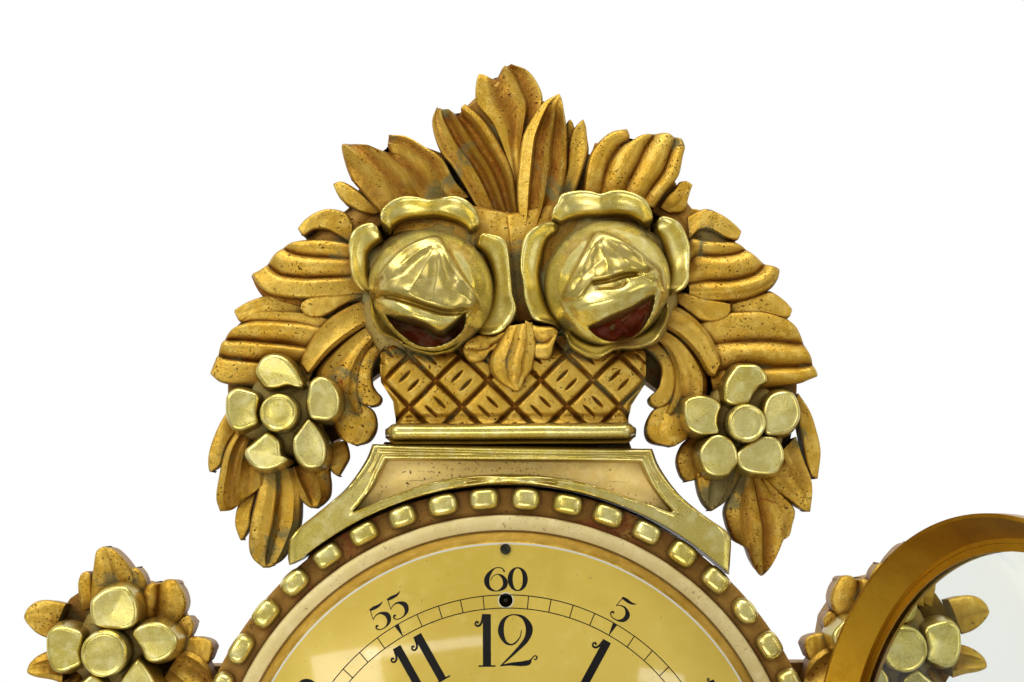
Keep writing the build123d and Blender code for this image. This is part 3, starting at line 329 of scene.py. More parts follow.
bareWood = gildedMaterial(
    "bareWood", 0.0, 0.4, Gold=(128, 92, 58), Hollow_Gold=(78, 50, 28), Light_Gold=(156, 118, 78),
    Worn=(96, 74, 52), Roughness=0.7, Specks=0.8, Wear=0.6)
mouthRed = gildedMaterial(
    "mouthRed", 0.05, 0.4, Grime=0.4, Gold=(150, 46, 16), Hollow_Gold=(98, 26, 8), Light_Gold=(176, 84, 40),
    Worn=(160, 146, 110), Roughness=0.45, Specks=1.2, Wear=0.5)

metalLook = {"pattern": 420, "bump": 0.4, "bumpDepth": 0.05}


def metalMaterial(name, base, shadow, roughness, metallic=1.0, specular=0.5):
    # Metal or paint with drifting tone and fine wear; its two colours are display values.
    material, tree, shader = newMaterial(name)
    coords = tree.nodes.new("ShaderNodeTexCoord").outputs["Object"]
    drift = noiseNode(tree, coords, metalLook["pattern"] * 0.12, 4, 0.6)
    fine = noiseNode(tree, coords, metalLook["pattern"], 3, 0.6)
    tone = plus(tree, times(tree, drift, 0.75), times(tree, fine, 0.25))
    colour = mixNode(tree, stepNode(tree, tone, 0.38, 0.6), srgb(*shadow), srgb(*base))
    tree.links.new(colour, shader.inputs["Base Color"])
    tree.links.new(plus(tree, roughness - 0.08, times(tree, drift, 0.2)), shader.inputs["Roughness"])
    addBump(tree, shader, fine, metalLook["bump"], metalLook["bumpDepth"])
    setInputs(shader, {"Metallic": metallic, "Specular IOR Level": specular})
    return material


brass = metalMaterial("brass", (214, 176, 92), (168, 126, 52), 0.32)
darkBrass = metalMaterial("darkBrass", (176, 132, 34), (160, 116, 24), 0.3)
steel = metalMaterial("steel", (150, 150, 150), (92, 92, 94), 0.34)
blackPaint = metalMaterial("blackPaint", (28, 24, 18), (16, 14, 12), 0.25, metallic=0.0)
printInk = metalMaterial("printInk", (20, 18, 14), (10, 9, 8), 0.5, metallic=0.0, specular=0.15)
darkSteel = metalMaterial("darkSteel", (62, 60, 50), (34, 32, 26), 0.4)
drumPaint = metalMaterial("drumPaint", (86, 84, 78), (58, 56, 52), 0.5, metallic=0.2)
print("finishes mixed")


# Mesh helpers.
def gridFaces(rows, cols, aroundRows=False, aroundCols=False):
    # Quads between neighbouring points of a rows by cols grid.
    row = np.arange(rows if aroundRows else rows - 1)[:, None]
    col = np.arange(cols if aroundCols else cols - 1)[None, :]
    nextRow, nextCol = (row + 1) % rows, (col + 1) % cols
    return np.stack([row * cols + col, row * cols + nextCol, nextRow * cols + nextCol, nextRow * cols + col],
                    -1).reshape(-1, 4)


def makePiece(name, parts, material, replaced=(), body="clock_case", smooth=40):
    # One mesh from several (points, face blocks, hollow) parts; points in millimetres, faces as index rows,
    # hollow as each point's share of painted shade and grime.
    faces, start = [], 0
    for points, blocks, hollow in parts:
        for block in blocks:
            faces.extend((np.asarray(block) + start).tolist())
        start += len(points)
    mesh = bpy.data.meshes.new(name)
    mesh.from_pydata((np.concatenate([part[0] for part in parts]) * mm).tolist(), [], faces)
    masks = np.concatenate([part[2] for part in parts]).astype(np.float32)
    mesh.attributes.new("hollow", "FLOAT", "POINT").data.foreach_set("value", masks)
    mesh.validate()
    mesh.polygons.foreach_set("use_smooth", np.ones(len(mesh.polygons), bool))
    mesh.set_sharp_from_angle(angle=math.radians(smooth))
    mesh.materials.append(material)
    piece = bpy.data.objects.new(name, mesh)
    bpy.context.scene.collection.objects.link(piece)
    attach(piece, body)
    if replaced:
        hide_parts(*replaced)
    return piece


def softStep(value, low, high):
    # 0 below low, 1 above high, smooth between.
    share = np.clip((value - low) / (high - low), 0, 1)
    return share * share * (3 - 2 * share)


def smoothLine(points, count, closed=False):
    # Smooth curve through control points (Catmull-Rom), resampled to count evenly spaced parameters.
    points = np.asarray(points, float)
    if closed:
        padded = np.vstack([points[-1:], points, points[:2]])
        spans = len(points)
    else:
        padded = np.vstack([2 * points[0] - points[1], points, 2 * points[-1] - points[-2]])
        spans = len(points) - 1
    place = np.linspace(0, spans, count, endpoint=not closed)
    spot = np.minimum(place.astype(int), spans - 1)
    part = (place - spot)[:, None]
    before, here, after, later = (padded[spot + step] for step in range(4))
    return 0.5 * (2 * here + (after - before) * part + (2 * before - 5 * here + 4 * after - later) * part ** 2
                  + (3 * here - before - 3 * after + later) * part ** 3)


def evenLine(points, count, closed=False):
    # Curve resampled to equal steps of length.
    points = np.asarray(points, float)
    if closed:
        points = np.vstack([points, points[:1]])
    walked = np.concatenate([[0], np.cumsum(np.linalg.norm(np.diff(points, axis=0), axis=1))])
    wanted = np.linspace(0, walked[-1], count, endpoint=not closed)
    return np.stack([np.interp(wanted, walked, points[:, axis]) for axis in range(points.shape[1])], -1)


def turned(profile, segments=192, centre=(0.0, 0.0)):
    # Profile of (radius, depth) points carried round an axis along y; ends on the axis close as poles.
    profile = np.asarray(profile, float)
    angle = np.linspace(0, 2 * np.pi, segments, endpoint=False)
    onAxis = profile[0, 0] < 1e-6 and profile[-1, 0] < 1e-6
    inner = profile[1:-1] if onAxis else profile
    points = np.stack([centre[0] + inner[None, :, 0] * np.cos(angle)[:, None],
                       np.broadcast_to(inner[None, :, 1], (segments, len(inner))),
                       centre[1] + inner[None, :, 0] * np.sin(angle)[:, None]], -1).reshape(-1, 3)
    faces = gridFaces(segments, len(inner), True, not onAxis)
    if not onAxis:
        return outward(points, [faces])
    count = len(inner)
    spot = np.arange(segments)
    after = (spot + 1) % segments
    first = np.full(segments, len(points))
    poles = [(centre[0], depth, centre[1]) for depth in (profile[0, 1], profile[-1, 1])]
    points = np.vstack([points, poles])
    caps = [np.stack([first, after * count, spot * count], -1),
            np.stack([first + 1, spot * count + count - 1, after * count + count - 1], -1)]
    return outward(points, [faces] + caps)


def outward(points, blocks, hollow=None):
    # Flip every face when the signed volume of the closed surface is negative.
    volume = 0.0
    for block in blocks:
        corner = points[np.asarray(block)]
        for step in range(1, corner.shape[1] - 1):
            volume += (corner[:, 0] * np.cross(corner[:, step], corner[:, step + 1])).sum()
    if volume < 0:
        blocks = [np.asarray(block)[:, ::-1] for block in blocks]
    return points, list(blocks), np.zeros(len(points)) if hollow is None else hollow


def sweptLoops(points, hollow=None):
    # Closed surface from a (rows, columns, 3) grid whose columns run round; both ends get a middle point.
    rows, cols = points.shape[:2]
    flat = points.reshape(-1, 3)
    ends = np.stack([points[0].mean(0), points[-1].mean(0)])
    spot = np.arange(cols)
    after = (spot + 1) % cols
    first = np.stack([np.full(cols, rows * cols), after, spot], -1)
    last = np.stack([np.full(cols, rows * cols + 1), (rows - 1) * cols + spot, (rows - 1) * cols + after], -1)
    mask = None
    if hollow is not None:
        mask = np.concatenate([hollow.reshape(-1), [hollow[0].mean(), hollow[-1].mean()]])
    return outward(np.vstack([flat, ends]), [gridFaces(rows, cols, False, True), first, last], mask)


# Long leaves of the lower sprays.
leafLook = {
    "rows": 40,          # points along a lobe
    "across": 33,        # points over its front
    "edgeDrop": 0.34,    # how far the edge falls below the crown, as a share of the width
    "edgePower": 2.2,    # how late it falls
    "fluteDepth": 0.085, # depth of a groove as a share of the width
    "tipLean": 5.0,      # the tip falls back by this much
    "footSink": 3.0,     # the foot is tucked in by this much
    "backDepth": 36.0,   # depth of the flat back
    "carverWobble": 0.22,
    "broad": 15, "middling": 12,  # widths from which a lobe has two grooves, and one at its middle
}
# Width along a lobe from foot to tip, as (share of the length, share of the width).
leafShare = np.array([
    (0, 0.6), (0.12, 0.76), (0.25, 0.9), (0.38, 0.98), (0.52, 1.03), (0.65, 1), (0.76, 0.86), (0.86, 0.62),
    (0.93, 0.4), (0.97, 0.24), (1, 0.06)])
# Sides of a lobe, front to back, as (share of the half width, share of the depth).
lobeSide = [(0.985, 0.12), (0.95, 0.5), (0.88, 1.0)]


def carvedBar(path, half, crown, edgeDrop, flutes, tilt, phase):
    # Rounded bar on a path: front = crown - edgeDrop |v|^power - grooves + tilt v; its sides fall to a flat,
    # narrower back. A groove is a one-sided bell: steep towards the middle, soft towards its ridge.
    rows = len(path)
    run = np.gradient(path, axis=0)
    run /= np.linalg.norm(run, axis=1)[:, None] + 1e-9
    side = np.stack([-run[:, 1], run[:, 0]], -1)
    v = np.sin(np.linspace(-np.pi / 2, np.pi / 2, leafLook["across"]))[None, :]
    along = np.linspace(0, 1, rows)[:, None]
    groove = 0 * along * v
    for place, depth, width, start, stop in flutes:
        gap = v - place * (1 - 0.25 * along)
        reach = np.where(gap * np.sign(place + 1e-6) > 0, width * 1.5, width * 0.8)
        fade = np.clip((along - start) / 0.12 + 0.5, 0, 1) * np.clip((stop - along) / 0.12 + 0.5, 0, 1)
        groove += depth * np.exp(-(gap / reach) ** 2) * fade
    wobble = np.sin(along * 9 + phase) * np.cos(v * 2.3 + phase * 1.7) + 0.5 * np.sin(along * 21 + 2 * phase)
    front = crown[:, None] - edgeDrop[:, None] * np.abs(v) ** leafLook["edgePower"] - groove + tilt * v
    front = front + leafLook["carverWobble"] * wobble
    frontPoints = np.stack([path[:, 0:1] + side[:, 0:1] * half[:, None] * v, -front,
                            path[:, 1:2] + side[:, 1:2] * half[:, None] * v], -1)
    deepest = np.maximum(groove.max(), 0.8)
    # painted shade: grooves and the falling edges take the hollow colour, and the sides almost fully
    mask = np.clip(groove / deepest, 0, 1) * 0.85 + np.clip((np.abs(v) - 0.9) / 0.1, 0, 1) * 0.5
    columns, masks = [frontPoints], [mask]
    for sign, steps in ((1, lobeSide), (-1, lobeSide[::-1])):
        edge = front[:, -1 if sign > 0 else 0]
        for narrow, drop in steps:
            depth = edge + (leafLook["backDepth"] - edge) * drop
            spot = (half * narrow * sign)[:, None]
            place = path + side * spot
            columns.append(np.stack([place[:, 0], -depth, place[:, 1]], -1)[:, None, :])
            masks.append(np.full((rows, 1), 0.95))
    return sweptLoops(np.concatenate(columns, 1), np.concatenate(masks, 1))


def leafLobe(row, mirrored=False):
    # One lobe from its table row: foot, tip, width, sideways bend and front depth.
    footX, footZ, tipX, tipZ, width, bend, front = row
    if mirrored:
        footX, tipX, bend = -footX, -tipX, -bend
    along = np.linspace(0, 1, leafLook["rows"])
    run = np.array([tipX - footX, tipZ - footZ])
    sideways = np.array([-run[1], run[0]]) / np.linalg.norm(run)
    bow = sideways * (4 * along * (1 - along) * bend)[:, None]
    path = np.array([footX, footZ]) + run * along[:, None] + bow
    share = np.interp(along, leafShare[:, 0], leafShare[:, 1])
    share = np.convolve(np.pad(share, 2, mode="edge"), np.ones(5) / 5, "valid")
    crown = front - leafLook["tipLean"] * along ** 3 - leafLook["footSink"] * (1 - along) ** 2
    drop = leafLook["edgeDrop"] * width * share ** 0.6
    phase = footX * 0.37 + tipZ * 0.11
    depth = leafLook["fluteDepth"] * width
    # a groove is (place across, depth, width, start, stop)
    if width >= leafLook["broad"]:
        flutes = [(-0.36, depth, 0.16, -0.2, 0.8), (0.36, depth, 0.16, -0.2, 0.86)]
    elif width >= leafLook["middling"]:
        flutes = [(0.1 if phase % 2 > 1 else -0.1, depth, 0.2, -0.2, 0.8)]
    else:
        flutes = [(0.25, depth * 0.7, 0.2, -0.2, 0.7)]
    return carvedBar(path, width * share / 2, crown, drop, flutes, 0.05 * width * np.sin(phase * 3), phase)


def fan(sharp, front, lean, left, right, ribs, top=()):
    # Table of a broad leaf: both edges run from the foot to the tip, the ribs give the relief across it as
    # (share, height) with its crests or its valleys sharp, and the top line its scallops as (share, x, z).
    return dict(sharp=sharp, front=front, lean=lean, left=left, right=right, ribs=ribs, top=top)


crownFans = [
    fan("crest", 60, 3, [(-0.5, 226), (-7, 236.5), (-14.5, 250), (-21, 261), (-25.5, 266.5), (-28.5, 274),
         (-29.5, 281), (-27.5, 286.5)],
        [(6, 225.5), (7.5, 236.5), (6, 248), (4, 259), (-0.5, 269), (-6, 278.5), (-11, 284.5), (-16, 288)],
        [(0, -0.8), (0.14, -1.6), (0.37, 0), (0.45, -2.2), (0.63, 0.3), (0.72, -2.4), (0.88, 0.2), (1, -1.2)],
         [(0.37, -26, 286), (0.63, -22.5, 285.5), (0.78, -17.5, 283), (0.88, -17.5, 286)]),
    fan("crest", 58, 2, [(6.5, 245), (1.5, 264.5), (-4, 278.5), (-10.5, 287), (-11.5, 292), (-11, 297.5),
         (-10, 300.5)],
        [(7.5, 249), (9, 268), (13, 279.5), (16.5, 289), (15, 295.5), (10.5, 302), (3.5, 305)],
        [(0, 0), (0.2, -0.9), (0.35, -1.9), (0.62, 0.4), (0.72, -2), (1, -0.6)], [(0.12, -8, 300.5),
         (0.35, -3, 299), (0.5, 0, 303.5)]),
    fan("crest", 61.5, 3, [(4, 224.5), (6, 237), (5.5, 250.5), (6.5, 263), (8, 273), (11.5, 280.5),
         (16.5, 287.5), (23, 291.5)],
        [(12.5, 227), (23, 244.5), (26, 258), (26.5, 268), (26.5, 276), (25.5, 283.5), (24.5, 289),
         (23.5, 291.5)],
        [(0, -0.6), (0.25, 0.2), (0.36, -2.3), (0.61, 0.3), (0.72, -2.1), (0.92, -0.4), (1, -1.2)]),
    fan("crest", 57.5, 1, [(21.5, 247), (26, 258.5), (27, 268.5), (28.5, 275), (30.5, 278.5), (33, 281)],
        [(29.5, 249), (33, 258.5), (35.5, 267), (35, 273), (34.5, 278), (33.5, 281)],
        [(0, 0), (0.12, 0.4), (0.4, -1.8), (0.8, -0.2), (1, -0.8)]),
    fan("crest", 54.5, 0, [(24.5, 264), (26, 273.5), (26.5, 280)],
        [(31, 264), (31, 273.5), (29, 280.5)],
        [(0, 0), (0.5, -0.8), (1, 0)], [(0.5, 28, 281.5)]),
    fan("valley", 60.5, 3, [(33, 249.5), (34, 258), (36, 266), (40, 271.5), (45, 275.5), (51.5, 277)],
        [(62.5, 243.5), (66.5, 249.5), (71, 254.5), (73, 258), (74.5, 265), (75.5, 269), (74.5, 272.5)],
        [(0, -0.6), (0.12, 0), (0.25, -2), (0.43, 0.4), (0.54, -1.9), (0.72, 0.4), (0.82, -1.8), (0.94, 0),
         (1, -0.6)], [(0.12, 52.5, 274.5), (0.25, 53, 271.5), (0.38, 57, 274), (0.54, 63, 275),
         (0.7, 68, 275), (0.85, 72, 273.5)]),
    fan("valley", 57, 1, [(64.5, 244.5), (67.5, 249), (71, 252), (73, 254.5), (76, 255), (78.5, 253.5)],
        [(69.5, 241.5), (74, 242), (76, 244), (76.5, 247), (77.5, 250.5), (78.5, 253)],
        [(0, -1), (0.45, 0.4), (0.6, -0.5), (1, -1)]),
]
leftFans = [
    fan("crest", 59.5, 3, [(-50, 241), (-54, 245.5), (-58.5, 251), (-63, 256)],
        [(-14, 248.5), (-20, 255), (-25.5, 264.5), (-32.5, 269.5), (-40, 274), (-47.5, 275)],
        [(0, -1.2), (0.12, -1.6), (0.27, 0.2), (0.36, -1.9), (0.52, 0.2), (0.62, -2), (0.8, 0.2),
         (0.88, -1.9), (1, -0.4)], [(0.12, -65.5, 262.5), (0.26, -67, 270.5), (0.36, -63, 271.5),
         (0.5, -57.5, 271), (0.62, -52, 269), (0.72, -47.5, 267), (0.8, -48, 271)]),
    fan("valley", 56.5, 1, [(-53.5, 241.5), (-58.5, 242.5), (-63.5, 245), (-67, 247.5), (-69, 250.5),
         (-70.5, 254)],
        [(-50, 244), (-53.5, 246), (-58.5, 250.5), (-63.5, 254), (-67.5, 255.5), (-70.5, 254.5)],
        [(0, -1.2), (0.35, -0.2), (0.7, 0.6), (1, -2.2)]),
    fan("valley", 57, 1, [(-63.5, 229.5), (-69.5, 233), (-73.5, 235), (-78.5, 235), (-82.5, 232.5),
         (-85, 235.5)],
        [(-62.5, 238), (-65.5, 242.5), (-71.5, 244), (-76.5, 243), (-81.5, 240), (-85, 236)],
        [(0, -1.6), (0.15, 0.6), (0.5, 0.2), (1, -0.8)]),
    fan("valley", 59.5, 3, [(-55.5, 205.5), (-67, 204), (-77.5, 203.5), (-84.5, 203.5), (-92.5, 205),
         (-98.5, 207), (-102, 211), (-104.5, 216.5)],
        [(-63, 229), (-69.5, 230.5), (-76, 231), (-83, 231)],
        [(0, -2.6), (0.1, -2.4), (0.17, 0.2), (0.36, 0.5), (0.45, -1.9), (0.62, 0.3), (0.74, -1.8), (0.88, 0),
         (1, -1)], [(0.15, -103.5, 217), (0.38, -99, 219.5), (0.62, -94, 225.5), (0.85, -88.5, 229.5)]),
    fan("valley", 56.5, 1, [(-83, 199.5), (-90, 200), (-98, 200), (-104.5, 198.5), (-108.5, 197),
         (-111, 201)],
        [(-84, 206), (-90, 206.5), (-96, 208.5), (-101.5, 207), (-106.5, 205), (-111, 202)],
        [(0, -2), (0.18, 0.3), (0.45, -0.3), (0.75, -0.8), (1, -1.6)]),
    fan("valley", 58.5, 1, [(-58, 207), (-65, 204), (-71.5, 200), (-76, 198.5), (-81, 199), (-84, 202.5)],
        [(-56.5, 208), (-65, 209.5), (-73.5, 209), (-79.5, 207.5), (-83.5, 204.5)],
        [(0, -1.2), (0.5, 0.4), (1, -1.2)]),
    fan("valley", 58.5, 3, [(-81.5, 168.5), (-95.5, 169.5), (-104, 170), (-111.5, 171), (-117, 172.5),
         (-120.5, 175.5)],
        [(-70.5, 198), (-79.5, 200.5), (-89.5, 201.5), (-99, 201.5), (-104, 200), (-107.5, 197.5)],
        [(0, -1.2), (0.1, 0), (0.28, 0.2), (0.32, -2.1), (0.5, 0.5), (0.57, -2.1), (0.78, 0.5), (0.86, -1.4),
         (1, -0.4)], [(0.12, -120.5, 176.5), (0.3, -118, 183), (0.42, -117, 186), (0.55, -115.5, 189.5),
         (0.8, -112, 194)]),
]
rightFans = [
    fan("valley", 57, 1, [(76.5, 240.5), (80.5, 242.5), (84.5, 243.5), (89.5, 241.5), (94, 238.5),
         (98.5, 234)],
        [(77, 230), (81, 234), (86, 234), (91.5, 231), (96.5, 230), (98.5, 233.5)],
        [(0, -0.8), (0.5, 0.2), (0.85, 0.6), (1, -1.6)]),
    fan("valley", 59.5, 3, [(76, 225.5), (77.5, 230.5), (83, 230), (89, 229.5), (96, 229.5)],
        [(76.5, 205), (82.5, 204), (90.5, 204), (99, 205), (105, 207), (110.5, 210), (113.5, 214),
         (114.5, 217.5)],
        [(0, -1), (0.12, 0), (0.25, -1.7), (0.45, 0.5), (0.64, -1.9), (0.8, 0.5), (0.9, -0.9), (1, -2.2)],
         [(0.25, 100.5, 226.5), (0.45, 104, 223.5), (0.64, 108, 220.5), (0.88, 113.5, 218.5)]),
    fan("valley", 56.5, 1, [(95, 204.5), (101.5, 206.5), (107.5, 208.5), (110.5, 209), (115.5, 205.5),
         (119, 201.5)],
        [(93, 199.5), (99, 199.5), (106, 199), (111.5, 198), (117, 197.5), (119, 200.5)],
        [(0, -1.4), (0.4, 0.2), (0.8, 0.4), (1, -2)]),
    fan("valley", 58.5, 1, [(67.5, 209), (76.5, 208), (82.5, 206), (89.5, 204.5), (93.5, 203.5)],
        [(70, 205), (76.5, 199.5), (80.5, 196.5), (86.5, 196), (91.5, 197.5), (93.5, 201)],
        [(0, -1.2), (0.5, 0.4), (1, -1.2)]),
    fan("valley", 58.5, 3, [(80.5, 196), (88.5, 199.5), (97, 200.5), (107, 200.5), (116.5, 198)],
        [(86, 167), (96.5, 167), (106.5, 168), (121, 170.5), (125, 172), (129, 173.5)],
        [(0, -0.6), (0.17, 0.4), (0.35, -2.1), (0.52, 0.5), (0.69, -2.1), (0.82, 0.3), (1, -0.8)],
         [(0.15, 120.5, 194), (0.35, 124, 187), (0.5, 126, 182.5), (0.69, 127.5, 178.5), (0.88, 129, 174.5)]),
    fan("valley", 53, 0, [(71.5, 241), (75, 243), (78.5, 244)],
        [(77.5, 237), (81.5, 240), (84, 242.5)],
        [(0, -1), (0.5, -0.5), (1, -1)], [(0.5, 81.5, 243.5)]),
]
leftDropFans = [
    fan("valley", 54.5, 1, [(-110, 166), (-115, 159), (-118.5, 152), (-121, 144.5), (-121.5, 139),
         (-121, 136)],
        [(-104, 156.5), (-111.5, 150), (-114.5, 144.5), (-116, 139), (-118, 137), (-120.5, 135.5)],
        [(0, -0.6), (0.5, 0.3), (0.8, -0.6), (1, -1)]),
    fan("crest", 56.5, 2, [(-109, 154.5), (-114.5, 144.5), (-117, 133), (-118, 125), (-116.5, 119.5)],
        [(-98, 144.5), (-96.5, 138), (-96, 132.5)],
        [(0, -0.8), (0.16, 0.3), (0.3, -1.6), (0.46, 0.3), (0.64, -1.5), (0.84, 0.3), (1, -1.4)],
         [(0.25, -112, 120), (0.5, -107.5, 123), (0.75, -101.5, 127.5)]),
    fan("crest", 52.5, 1, [(-107.5, 127.5), (-110, 120), (-110.5, 114), (-108.5, 108)],
        [(-101, 130), (-103.5, 120), (-104, 114), (-106, 109.5), (-108, 107.5)],
        [(0, -0.6), (0.5, -1.2), (1, 0)]),
    fan("crest", 57.5, 3, [(-99, 136), (-101.5, 125), (-103.5, 116), (-104.5, 106), (-103, 100.5),
         (-98.5, 96.5)],
        [(-86.5, 137), (-83.5, 129), (-83, 122.5), (-83.5, 114), (-87, 105.5), (-91, 99.5), (-96, 96.5)],
        [(0, -1), (0.22, -0.1), (0.4, -0.7), (0.45, 0.5), (0.5, -0.9), (0.55, 0.5), (0.62, -0.6), (0.84, 0),
         (1, -1.4)]),
    fan("crest", 56, 1, [(-91.5, 136), (-87.5, 129.5), (-83.5, 124), (-80, 121), (-77.5, 120.5)],
        [(-70.5, 142), (-71.5, 135.5), (-71, 130.5), (-71.5, 125.5), (-74.5, 122), (-77.5, 120.5)],
        [(0, -0.8), (0.26, 0.4), (0.38, -1.6), (0.7, 0.3), (1, -2)]),
    fan("valley", 53.5, 1, [(-75, 146.5), (-73.5, 140), (-71, 135.5), (-68.5, 133.5)],
        [(-65, 148.5), (-63.5, 142), (-65.5, 137.5), (-68, 133.5)],
        [(0, -1), (0.5, 0.2), (1, -1)]),
]
rightDropFans = [
    fan("valley", 54.5, 1, [(119.5, 162), (121.5, 151.5), (123.5, 140), (125.5, 133.5), (128, 131.5)],
        [(121.5, 167), (126, 159.5), (128.5, 151.5), (130, 142.5), (128.5, 131.5)],
        [(0, -0.8), (0.5, 0.3), (1, -0.8)]),
    fan("crest", 56.5, 2, [(103.5, 132.5), (110.5, 126), (116.5, 122), (120.5, 119.5), (123.5, 118)],
        [(120, 149), (123, 139), (125.5, 132), (126, 126), (125, 118)],
        [(0, -1.4), (0.1, 0), (0.35, -1.2), (0.6, 0.3), (0.75, -1.4), (1, -0.6)]),
    fan("crest", 57.5, 3, [(96.5, 133), (92.5, 125), (90, 119), (90.5, 114), (92, 109.5), (93.5, 106.5)],
        [(105.5, 133.5), (113, 125.5), (118.5, 119), (117.5, 112.5), (116.5, 108.5), (114, 106.5)],
        [(0, -1.4), (0.2, 0.2), (0.32, -1.6), (0.5, 0.6), (0.56, -1.9), (0.78, 0.2), (0.88, -1.2), (1, -0.8)],
         [(0.15, 96.5, 104.5), (0.28, 99, 103), (0.38, 101, 97), (0.52, 104.5, 92), (0.68, 109, 96),
         (0.8, 111.5, 102.5), (0.9, 113, 106)]),
    fan("crest", 56, 1, [(80.5, 142.5), (78.5, 134.5), (79, 127.5), (81, 122), (84, 118.5)],
        [(100.5, 137.5), (97.5, 130.5), (94, 126), (90, 122), (87, 120), (84.5, 118.5)],
        [(0, -1), (0.3, 0.2), (0.45, -1.2), (0.75, 0.3), (1, -1.6)]),
    fan("valley", 53.5, 1, [(77, 149.5), (72.5, 145.5), (70.5, 139.5), (72, 133.5), (74.5, 130.5)],
        [(83.5, 145), (81, 138), (79, 132), (75, 130.5)],
        [(0, -1), (0.4, 0.2), (1, -1)]),
]
sideFans = [
    fan("valley", 56, 2, [(-169, 79.5), (-168.5, 90), (-167.5, 98), (-166.5, 103.5), (-164, 105.5)],
        [(-149.5, 84), (-150, 91), (-152.5, 97), (-156, 101.5), (-159.5, 104.5), (-163.5, 105.5)],
        [(0, -0.8), (0.3, 0.2), (0.55, -0.8), (0.8, 0.2), (1, -1)]),
    fan("valley", 54, 1, [(-172.5, 79), (-174, 89), (-173, 94), (-171, 95.5)],
        [(-167, 82), (-168, 89.5), (-168.5, 94.5)],
        [(0, -0.8), (0.5, 0.1), (1, -1)], [(0.6, -170, 95.5)]),
    fan("valley", 54, 1, [(-155, 84), (-154, 93), (-152.5, 96.5), (-151, 97)],
        [(-145, 84), (-146.5, 92), (-148.5, 95.5), (-150.5, 97)],
        [(0, -1), (0.4, 0.3), (1, -1.4)]),
    fan("valley", 56, 2, [(-148, 74.5), (-148, 83), (-146.5, 89), (-143.5, 91)],
        [(-136.5, 71), (-131.5, 76.5), (-129.5, 81.5), (-130.5, 86.5), (-133, 90.5)],
        [(0, -0.8), (0.2, 0.2), (0.38, -1.8), (0.7, 0.4), (1, -1)], [(0.35, -141, 90.5), (0.6, -138, 92),
         (0.85, -134.5, 92)]),
    fan("valley", 54, 1, [(-136, 74), (-132, 77), (-129, 77.5), (-127, 75)],
        [(-133.5, 67.5), (-129, 67.5), (-127, 71), (-126.5, 74)],
        [(0, -1), (0.5, 0.2), (1, -1)]),
    fan("valley", 54.5, 1, [(-132.5, 67.5), (-127, 69), (-122.5, 68.5), (-119.5, 67), (-118.5, 64.5)],
        [(-132, 59), (-125.5, 58), (-121, 57.5), (-119.5, 60), (-118.5, 63.5)],
        [(0, -0.8), (0.5, 0.4), (1, -1.2)]),
    fan("crest", 56, 2, [(-131.5, 64), (-126.5, 63), (-122, 60), (-119.5, 56), (-117.5, 50)],
        [(-139.5, 50.5), (-133.5, 44), (-127.5, 41.5), (-122, 42.5), (-118, 47)],
        [(0, -0.6), (0.12, 0.6), (0.3, -1.6), (0.6, 0.2), (0.8, -1.2), (1, -0.8)], [(0.5, -117.5, 48.5)]),
    fan("valley", 55, 1, [(-179, 82.5), (-185.5, 84), (-190.5, 83.5), (-193.8, 81), (-195.5, 77.5)],
        [(-184.5, 68), (-188.5, 69.5), (-191.5, 71.5), (-194, 74.5), (-195.5, 77)],
        [(0, -1), (0.35, 0.3), (0.6, -0.8), (1, -1)]),
    fan("crest", 55.5, 2, [(-177.5, 65), (-184, 64), (-189, 62), (-192.5, 59), (-194, 56)],
        [(-180, 50.5), (-184.5, 52), (-189.5, 53), (-192.5, 54), (-194, 55)],
        [(0, -0.6), (0.3, 0.4), (0.5, -1.6), (0.8, 0.2), (1, -1)]),
]
groundRibs = [(0, -1.2), (0.35, 0.3), (0.6, -0.5), (1, -1)]
# Rough ground between the leaves, one band for each stretch of the crest.
groundFans = [
    fan("valley", 53.5, 0, [(-7.5, 240), (-14, 262.5), (-17, 278), (-18.5, 284.5)],
        [(29.5, 245.5), (30, 264.5), (28.5, 273.5), (24.5, 284.5)], groundRibs,
        [(0.3, -8, 294), (0.5, 1, 300), (0.75, 14.5, 291.5)]),
    fan("valley", 53.5, 0,
        [(-26, 268.5), (-36.5, 271.5), (-44.5, 265.5), (-59.5, 254.5), (-62.5, 244.5), (-75, 238),
         (-83.5, 230.5), (-92, 223.5), (-94, 210.5), (-102, 201.5), (-108.5, 192), (-114.5, 176.5)],
        [(-13, 241.5), (-26.5, 245.5), (-43, 241.5), (-55.5, 233), (-60, 220.5), (-58.5, 209.5), (-65.5, 201),
         (-71.5, 193), (-76.5, 185.5), (-82, 171)], groundRibs),
    fan("valley", 53.5, 0,
        [(38.5, 272.5), (53, 270.5), (67, 264), (74, 251.5), (81.5, 241), (93, 234.5), (100, 225.5),
         (108, 218.5), (108.5, 209.5), (112.5, 199), (120.5, 191), (124.5, 175.5)],
        [(29.5, 245.5), (40, 247.5), (61, 243), (73, 230.5), (75, 214), (77, 201.5), (83, 193), (90, 184.5),
         (95, 170)], groundRibs),
]
